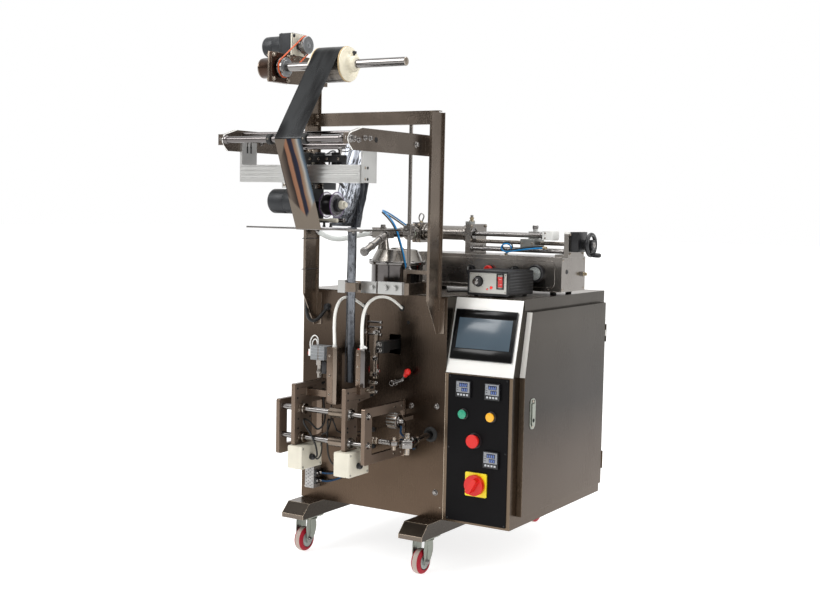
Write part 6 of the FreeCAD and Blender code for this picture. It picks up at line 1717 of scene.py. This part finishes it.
def power_supply():
    p = Piece("power_box_details", "cabinet", "machine_black")
    p.box((585, 715), (74.3, 75.2), (876, 939), SILVER_FACE, 0.6)
    for x0, x1, z0, z1 in ((579, 721, 939, 946), (579, 721, 869, 876), (579, 585, 874, 941), (715, 721, 874, 941)):
        p.box((x0, x1), (71.8, 78), (z0, z1), BLACK, 1.2)
    for k in range(7):
        z = 877 + 9.4 * k
        for x0, x1 in ((578.4, 581), (719, 721.6)):
            p.box((x0, x1), (79, 245), (z, z + 5.2), BLACK, 0.7)
    for k in range(12):
        x = 586 + 11.0 * k
        p.box((x, x + 6.4), (79, 245), (944, 946.6), BLACK, 0.7)
    for x0, x1, z0, z1 in ((680.5, 683.8, 890, 938), (702.2, 705.5, 890, 938), (681, 705, 890, 893.8),
                           (681, 705, 934.2, 938)):
        p.box((x0, x1), (70.6, 75), (z0, z1), BLACK, 0.7)
    p.lathe((616, 74.6, 912), (0, -1, 0), [(0, 17.5), (0.5, 17.2), (0.5, 14.5)], GLOSS_BLACK, 48, 0.0)
    for k in range(11):
        a = math.radians(-50 + 28 * k)
        p.tube([(616 + 18.6 * math.cos(a), 74.1, 912 + 18.6 * math.sin(a)),
                (616 + 21.4 * math.cos(a), 74.1, 912 + 21.4 * math.sin(a))],
               0.45, GLOSS_BLACK, 6, steps=0)
    for x, z, r in ((648, 889, 2.0), (662, 894, 4.2)):
        p.lathe((x, 74.6, z), (0, -1, 0), [(0, r + 1.4), (1.2, r + 1.2), (1.4, r)], CHROME, 28, 0.2)
        p.lathe((x, 73.6, z), (0, -1, 0), [(0, r), (1.6, r * 0.8), (2.4, 0)], LED, 24, 0.2)
    for x, z in ((590, 881), (710, 881), (590, 934), (710, 934)):
        p.pan_screw((x, 74.4, z), (0, -1, 0), 2.0, BOLT)
    p.tube([(642, 247, 884), (630, 262, 874), (596, 268, 868.6), (556, 262, 867.6), (520, 250, 867.6),
            (486, 232, 867.6), (462, 204, 867.6), (450, 170, 867.6)], 3.3, BLACK_HOSE, 12)
    p.tube([(652, 247, 890), (648, 262, 878), (640, 274, 868.4), (632, 281, 867.2), (604, 283.5, 867.2),
            (560, 284, 867.2), (520, 283, 867.2)],
           3.0, BLACK_HOSE, 12)
    p.done()
    p = Piece("power_knob_cap", "power_knob", "black_plastic")
    p.lathe((616, 73.4, 912), (0, -1, 0),
            [(0, 14.4), (3.0, 14.0), (3.8, 12.6), (16.2, 12.3), (17.8, 10.6), (17.8, 8.6)], BLACK, 40, 0.4)
    p.lathe((616, 55.7, 912), (0, -1, 0), [(0, 9.0), (0.9, 8.6), (0.9, 0)], CHROME, 36, 0.2)
    for k in range(20):
        a = 2 * math.pi * k / 20
        p.tube([(616 + 12.4 * math.cos(a), 58, 912 + 12.4 * math.sin(a)),
                (616 + 12.6 * math.cos(a), 69, 912 + 12.6 * math.sin(a))],
               0.7, BLACK, 6, steps=0)
    p.tube([(616 + 3, 54.7, 912 + 3), (616 + 8, 54.7, 912 + 8)], 0.6, WHITE, 6, steps=0)
    p.done()
    p = Piece("power_rocker_cap", "power_rocker", "red_plastic")
    outline = [(72.8, 896.2), (79, 896.2), (79, 927.8 + 1.4), (69.6, 927.8 + 1.4), (73.6, 913)]
    p.prism("x", [(y, z) for y, z in outline], 684.9, 701.1, LED_RED, 0.8)
    for z in (905, 921):
        p.tube([(689, 71.4 + (921 - z) * 0.08, z), (697, 71.4 + (921 - z) * 0.08, z)], 0.5, WHITE, 6, steps=0)
    p.done("power_rocker")


LED_RED = surface("rocker_red", "#b81712", 0.22, 0.0, None, 0.06, 60.0, 0.04, None, coat=0.4, emission="#ff1a0c",
                  emission_strength=0.12)
filler_box_details()
filler_barrel_details()
lead_screw_thread()
crosshead_and_stop_details()
drum_and_dials()
power_supply()


# ---------------------------------------------------------------- control panel
DISPLAY = surface("display_slate", "#46545f", 0.20, 0.0, None, 0.10, 9.0, 0.03, None, coat=0.4, emission="#43525e",
                  emission_strength=0.12)
SEGMENT = surface("display_segment", "#5f83c8", 0.40, 0.0, None, 0.05, 60.0, 0.03, None, emission="#6f93ff",
                  emission_strength=0.35)
KEYS = surface("key_grey", "#b9bcc0", 0.45, 0.0, None, 0.05, 60.0, 0.03, None)
RED_DARK = surface("red_recess", "#a5120c", 0.34, 0.0, None, 0.06, 30.0, 0.04, None)
LEAN = (Matrix.Translation((0, 0, 630)) @ Matrix.Rotation(-math.atan2(60, 234), 4,
                                                          "X") @ Matrix.Translation((0, 0, -630)))


def control_details():
    p = Piece("screen_details", "cabinet", "black_plastic")
    p.box((573, 759), (-5.5, -4.6), (630 + 79, 630 + 174), DISPLAY, 0.2, matrix=LEAN)
    p.box((560.5, 769.5), (-5.3, -4.8), (630 + 176, 630 + 198), GLOSS_BLACK, 0.2, matrix=LEAN)
    p.box((560.5, 769.5), (-5.3, -4.8), (630 + 46, 630 + 77), GLOSS_BLACK, 0.2, matrix=LEAN)
    for x0, x1, z0, z1 in ((557.4, 772.6, 199, 200.8), (557.4, 772.6, 43.2, 45), (557.4, 559.4, 44, 200),
                           (770.6, 772.6, 44, 200)):
        p.box((x0, x1), (-5.8, -4.0), (630 + z0, 630 + z1), BLACK, 0.5, matrix=LEAN)
    p.done()
    p = Piece("controller_faces", "cabinet", "black_plastic")
    for x, z in ((617.5, 584), (718.5, 584), (718.5, 375)):
        for x0, x1, z0, z1 in ((-25.6, 25.6, 22.6, 25.6), (-25.6, 25.6, -25.6, -22.6), (-25.6, -22.6, -24, 24),
                               (22.6, 25.6, -24, 24)):
            p.box((x + x0, x + x1), (-11.4, -3), (z + z0, z + z1), BLACK, 0.6)
        p.box((x - 22.8, x + 22.8), (-12.2, -10.9), (z - 10.4, z + 22.8), GREY_MOULDED, 0.6)
        p.box((x - 22.8, x + 22.8), (-11.8, -10.9), (z - 22.8, z - 10.8), BLACK, 0.4)
        p.box((x - 13, x + 17), (-12.5, -11.9), (z + 6.4, z + 19.6), NAVY, 0.2)
        p.box((x - 5, x + 17), (-12.5, -11.9), (z - 7.4, z + 4.6), NAVY, 0.2)
        for k in range(4):
            for low, count, start in ((8.6, 4, -11), (-5.6, 3, -3)):
                if k < count:
                    cx = x + start + 6.6 * k
                    p.box((cx, cx + 3.4), (-12.7, -12.2), (z + low, z + low + 0.9), SEGMENT, 0.1)
                    p.box((cx, cx + 3.4), (-12.7, -12.2), (z + low + 3.6, z + low + 4.5), SEGMENT, 0.1)
                    p.box((cx + 2.7, cx + 3.5), (-12.7, -12.2), (z + low, z + low + 8.4), SEGMENT, 0.1)
            cx = x - 19 + 10.4 * k
            p.box((cx, cx + 6.8), (-12.6, -11.4), (z - 20.4, z - 14.4), KEYS, 0.5)
        for low in (-4, 3, 10):
            p.box((x - 20, x - 15.6), (-12.5, -12.0), (z + low, z + low + 2.2), BLACK, 0.1)
    p.done()
    p = Piece("plate_details", "cabinet", "black_plastic")
    for x in (567, 765):
        for z in (176, 398, 620):
            p.pan_screw((x, -3.0, z), (0, -1, 0), 2.6, BLACK)
    for x, z in ((617, 506), (714, 506)):
        p.lathe((x, -3.0, z), (0, -1, 0), [(0, 17.2), (2.0, 17.0), (3.0, 15.8), (3.0, 14.2)], BLACK, 44, 0.3)
    p.lathe((658, -3.0, 427), (0, -1, 0), [(0, 24), (0.5, 23.6), (0.5, 16)], BLACK, 44, 0.0)
    p.prism("y", ring_loop((631, 705), (255, 329), 7), -5.8, -4.2, YELLOW_PLATE, 0.4)
    for x, z in ((637, 261), (699, 261), (637, 323), (699, 323)):
        p.lathe((x, -5.8, z), (0, -1, 0), [(0, 2.6), (0.6, 2.2), (0.6, 0)], RED_DARK, 20, 0.1)
    p.lathe((668, -7.0, 292), (0, -1, 0), [(0, 34.2), (0.8, 33.8), (0.8, 32)], RED_DARK, 56, 0.1)
    p.done()
    cap = [(0, 12.3), (3.0, 12.3), (3.2, 14.2), (5.6, 14.0), (6.8, 12.6), (7.4, 0)]
    for colour, x, material in (("green", 617, GREEN), ("yellow", 714, YELLOW)):
        p = Piece("%s_cap" % colour, "%s_button" % colour, "%s_plastic" % colour)
        p.lathe((x, -9.0, 506), (0, -1, 0), cap, material, 44, 0.3)
        p.done()
    p = Piece("latch_details", "latch", "chrome")
    # A near-black disc in the latch: painted shade.
    p.lathe((806.2, 100, 492), (1, 0, 0), [(0, 6.4), (0.7, 6.0), (0.7, 4.6), (0.3, 4.4), (0.3, 0)], HOLE_SHADE, 32, 0.2)
    p.done()
    p = Piece("latch_rim", "door", "chrome")
    for z in (474, 551):
        p.lathe((803.4, 100, z), (1, 0, 0), [(0, 4.6), (1.2, 4.0), (1.2, 0)], BOLT, 26, 0.2)
    p.done()
    p = Piece("hinge_screws_and_edge_highlights", "cabinet", "panel_steel")
    for z in (200, 840):
        for x in (12, 538):
            p.lathe((x, 0, z), (0, -1, 0), [(0, 2.6), (0.8, 2.2), (0.8, 0)], BOLT, 20, 0.1)
    # Pale lines down two edges of the front: painted highlight.
    p.tube([(549.4, -0.4, 166), (549.4, -0.4, 628)], 1.1, EDGE_HIGHLIGHT, 8, steps=0)
    p.tube([(0.6, -0.2, 164), (0.6, -0.2, 860)], 1.0, EDGE_HIGHLIGHT, 8, steps=0)
    p.done()


# A pale copy of the margin steel for thin lines along edges: painted highlight.
EDGE_HIGHLIGHT = surface("painted_edge_highlight", "#b9aa98", 0.26, 0.95, "z", 0.06, 5.0, 0.05, None, grain_tone=0.03)
control_details()


# ---------------------------------------------------------------- casters
HUB_GREY = surface("hub_grey", "#9aa09c", 0.45, 0.2, None, 0.10, 30.0, 0.06, "#c4c8c4", micro=0.00005)


def casters():
    for short, node, x, y in (("fl", "wheel_front_left", 58, -60), ("fr", "wheel_front_right", 509, -60),
                              ("rl", "wheel_rear_left", 58, 735), ("rr", "wheel_rear_right", 509, 735)):
        p = Piece("tyre_" + short, "wheel_" + short, "red_tyre")
        start = (x - 16, y, 40)
        side = [(1.4, 26), (0, 27), (0.1, 31), (1.6, 34.6), (4.2, 37.4), (8.0, 39.2)]
        p.lathe(start, (1, 0, 0), side, RED_TYRE, 72, 0.4)
        p.lathe(start, (1, 0, 0), [(8.0, 39.2), (11, 39.9), (16, 40), (21, 39.9), (24, 39.2)], TREAD, 72, 0.3)
        p.lathe(start, (1, 0, 0), [(32 - a, r) for a, r in reversed(side)], RED_TYRE, 72, 0.4)
        hub = [(-2.6, 4.4), (-2.6, 10), (2.2, 11), (3.4, 14), (2.8, 21), (1.2, 24.6), (1.2, 27)]
        p.lathe(start, (1, 0, 0), hub, HUB_GREY, 56, 0.4)
        p.lathe(start, (1, 0, 0), [(32 - a, r) for a, r in hub], HUB_GREY, 56, 0.4)
        for k in range(6):
            t = math.radians(60 * k + 20)
            for along in (3.0, 29.0):
                p.tube([(x - 16 + along, y + 12 * math.cos(t), 40 + 12 * math.sin(t)),
                        (x - 16 + along, y + 21 * math.cos(t), 40 + 21 * math.sin(t))], 1.5, HUB_GREY, 8, steps=0)
        p.done(node)
    for name, body, x, y in (("left", "caster_left", 58, -34), ("right", "caster_right", 509, -34),
                             ("rear_left", "cabinet", 58, 709), ("rear_right", "cabinet", 509, 709)):
        sign = -1 if y < 0 else 1
        axle = y + 26 * sign
        p = Piece("fork_details_" + name, body, "caster_zinc")
        p.lathe((x, y, 107.4), (0, 0, -1), [(0, 20), (0.4, 26.6), (2, 27.6), (4.6, 27.2), (6.4, 24), (7, 20)], ZINC,
                56, 0.4)
        for s in (-1, 1):
            nut = [(0, 11.6), (0.8, 11.4), (1.2, 9.4), (1.2, 8.0), (5.2, 7.6), (7.2, 5.6), (8.2, 2.6), (8.4, 0)]
            p.lathe((x + s * 22, axle, 40), (s, 0, 0), nut, CHROME, 40, 0.3)
            lip = [(x + s * 21.6, axle - sign * a, z) for a,
                   z in ((-13.6, 104), (-15.6, 80), (-15.0, 58), (-12.0, 42), (-8, 31), (2, 28.6),
                                                                  (14, 35.4), (23, 46.4), (31, 60.4), (35.6, 76),
                         (35.4, 92), (31, 105))]
            p.tube(lip, 1.0, ZINC, 8, steps=4)
            rib = [(x + s * 21.6, axle - sign * a, z) for a, z in ((8, 104), (7, 84), (4, 64), (1, 52))]
            p.tube(rib, 2.6, ZINC, 10, steps=5)
        p.done()
    p = Piece("caster_plate_bolts", "cabinet", "chrome")
    for x, y in ((58, -34), (509, -34), (58, 709), (509, 709)):
        for sx in (-26, 26):
            for sy in (-30, 30):
                p.hex_bolt((x + sx * 0.9, y + sy, 112), (0, 0, -1), 9, 4, BOLT, washer=False)
    # Pale lines along the foot beams' edges: painted highlight.
    for x in (49.5, 501.5):
        for y, z, k in ((-115, 130, 1), (-81, 163, 0), (775, 130, 1), (741, 163, 0)):
            p.tube([(x - 42, y, z), (x + 42, y, z)], 0.9 if k else 0.5, EDGE_HIGHLIGHT, 8, steps=0)
        for sx in (-42.4, 42.4):
            p.tube([(x + sx, -115, 117), (x + sx, -115, 130), (x + sx, -81, 162.8), (x + sx, -2, 162.8)], 0.6,
                   EDGE_HIGHLIGHT, 8, steps=0)
    p.done()


casters()


# ---------------------------------------------------------------- hoses and leads
def hoses():
    loop = [(730, 290, 1015), (690, 284, 1012), (640, 278, 1004), (604, 276, 998), (585, 277, 1006), (590, 279, 1024),
            (612, 281, 1026), (622, 284, 1012), (612, 288, 1000), (596, 293, 994)]
    arch = [(232, 300, 1060), (215, 250, 1090), (215, 170, 1118), (240, 90, 1128), (290, 50, 1112), (330, 34, 1082),
            (352, 30, 1035), (368, 36, 975), (377, 40, 915), (384, 44, 865)]
    product = [(235.3, 61, 1051), (215, 60, 1050), (190, 44, 1044), (160, 20, 1034), (128, 2, 1028), (95, -14, 1036),
               (72, -30, 1054)]
    conduit = [(44, -40, 864), (43, -42, 828), (44, -46, 792), (56, -48, 764), (78, -40, 760), (92, -22, 784),
               (96, 0, 806)]
    hose("air_loop", loop, 5, BLUE_HOSE, replaces=("air_hoses",))
    hose("air_arch", arch, 5, BLUE_HOSE)
    p = Piece("twin_air_lines", "cabinet", "black_hose")
    p.tube([(x + 2, y + 4, z + 5.4) for x, y, z in spline_points(loop)[:-3]], 2.4, BLACK_HOSE, 10, steps=1)
    p.tube([(x - 4, y + 3, z - 6) for x, y, z in spline_points(arch)[2:-3]], 2.4, BLACK_HOSE, 10, steps=1)
    for a, b in (((730, 290, 1015), (1, 0.15, 0.08)), ((384, 44, 864.5), (0, 0, 1)), ((596, 293, 994), (0, 0.3, -1))):
        p.lathe(a, b, [(0, 3), (0, 5.4), (8, 5.4), (10, 4.4), (14, 4.4), (14, 2.6)], BRASS, 26, 0.3)
    p.done()
    p = Piece("product_hose_ribbed", "cabinet", "clear_hose")
    p.ribbed(spline_points(product), 8.3, 5.0, 0.7, CLEAR_HOSE, 24)
    for k in (1, -2):
        line = spline_points(product)
        here, ahead = Vector(line[k]), Vector(line[k + 1])
        p.lathe(here, ahead - here, [(0, 8.6), (0, 10.4), (9, 10.4), (9, 8.6)], CHROME, 36, 0.3)
    p.lathe((66, -30, 1060), (0.3, -0.3, 1), [(-2, 9), (8, 9), (8, 12), (12, 12), (13, 9), (13, 0)], CHROME, 36, 0.4)
    p.done("product_hose")
    p = Piece("conduit_ribbed", "cabinet", "black_hose")
    p.ribbed(spline_points(conduit), 5.4, 3.4, 0.8, BLACK_HOSE, 20)
    p.lathe((96, -0.2, 806), (0, -1, 0.05), [(0, 12.4), (2, 12.4), (2, 10.6), (9, 10.2), (12, 7.4), (12, 5.4)], BLACK,
            36, 0.4)
    p.lathe((44, -40, 866), (0, 0, -1), [(0, 6), (0, 8.4), (12, 8.4), (14, 6.6)], BLACK, 36, 0.4)
    p.done("conduit")
    p = Piece("post_cables", "cabinet", "black_hose")
    for k, (dx, dy) in enumerate(((-1.5, -3), (-1.0, 3), (1.6, 0))):
        p.tube([(49 + dx, -64 + dy, 866), (49 + dx, -64 + dy, 960), (48.6 + dx, -64 + dy, 1100),
                (49 + dx, -64 + dy, 1288)], 2.6, BLACK_HOSE, 10, steps=4)
    for z in (930, 1030, 1130, 1230):
        ring = ring_loop((44.4, 56.2), (-78.4, 0.6), 2.5, 4)
        p.tube([(x, y, z) for x, y in ring], 1.4, BLACK, 8, closed=True, steps=1)
    p.done()


CLEAR_HOSE = surface("milky_hose", "#dfe2df", 0.34, 0.0, None, 0.06, 30.0, 0.05, None, coat=0.2, transmission=0.2)
hoses()
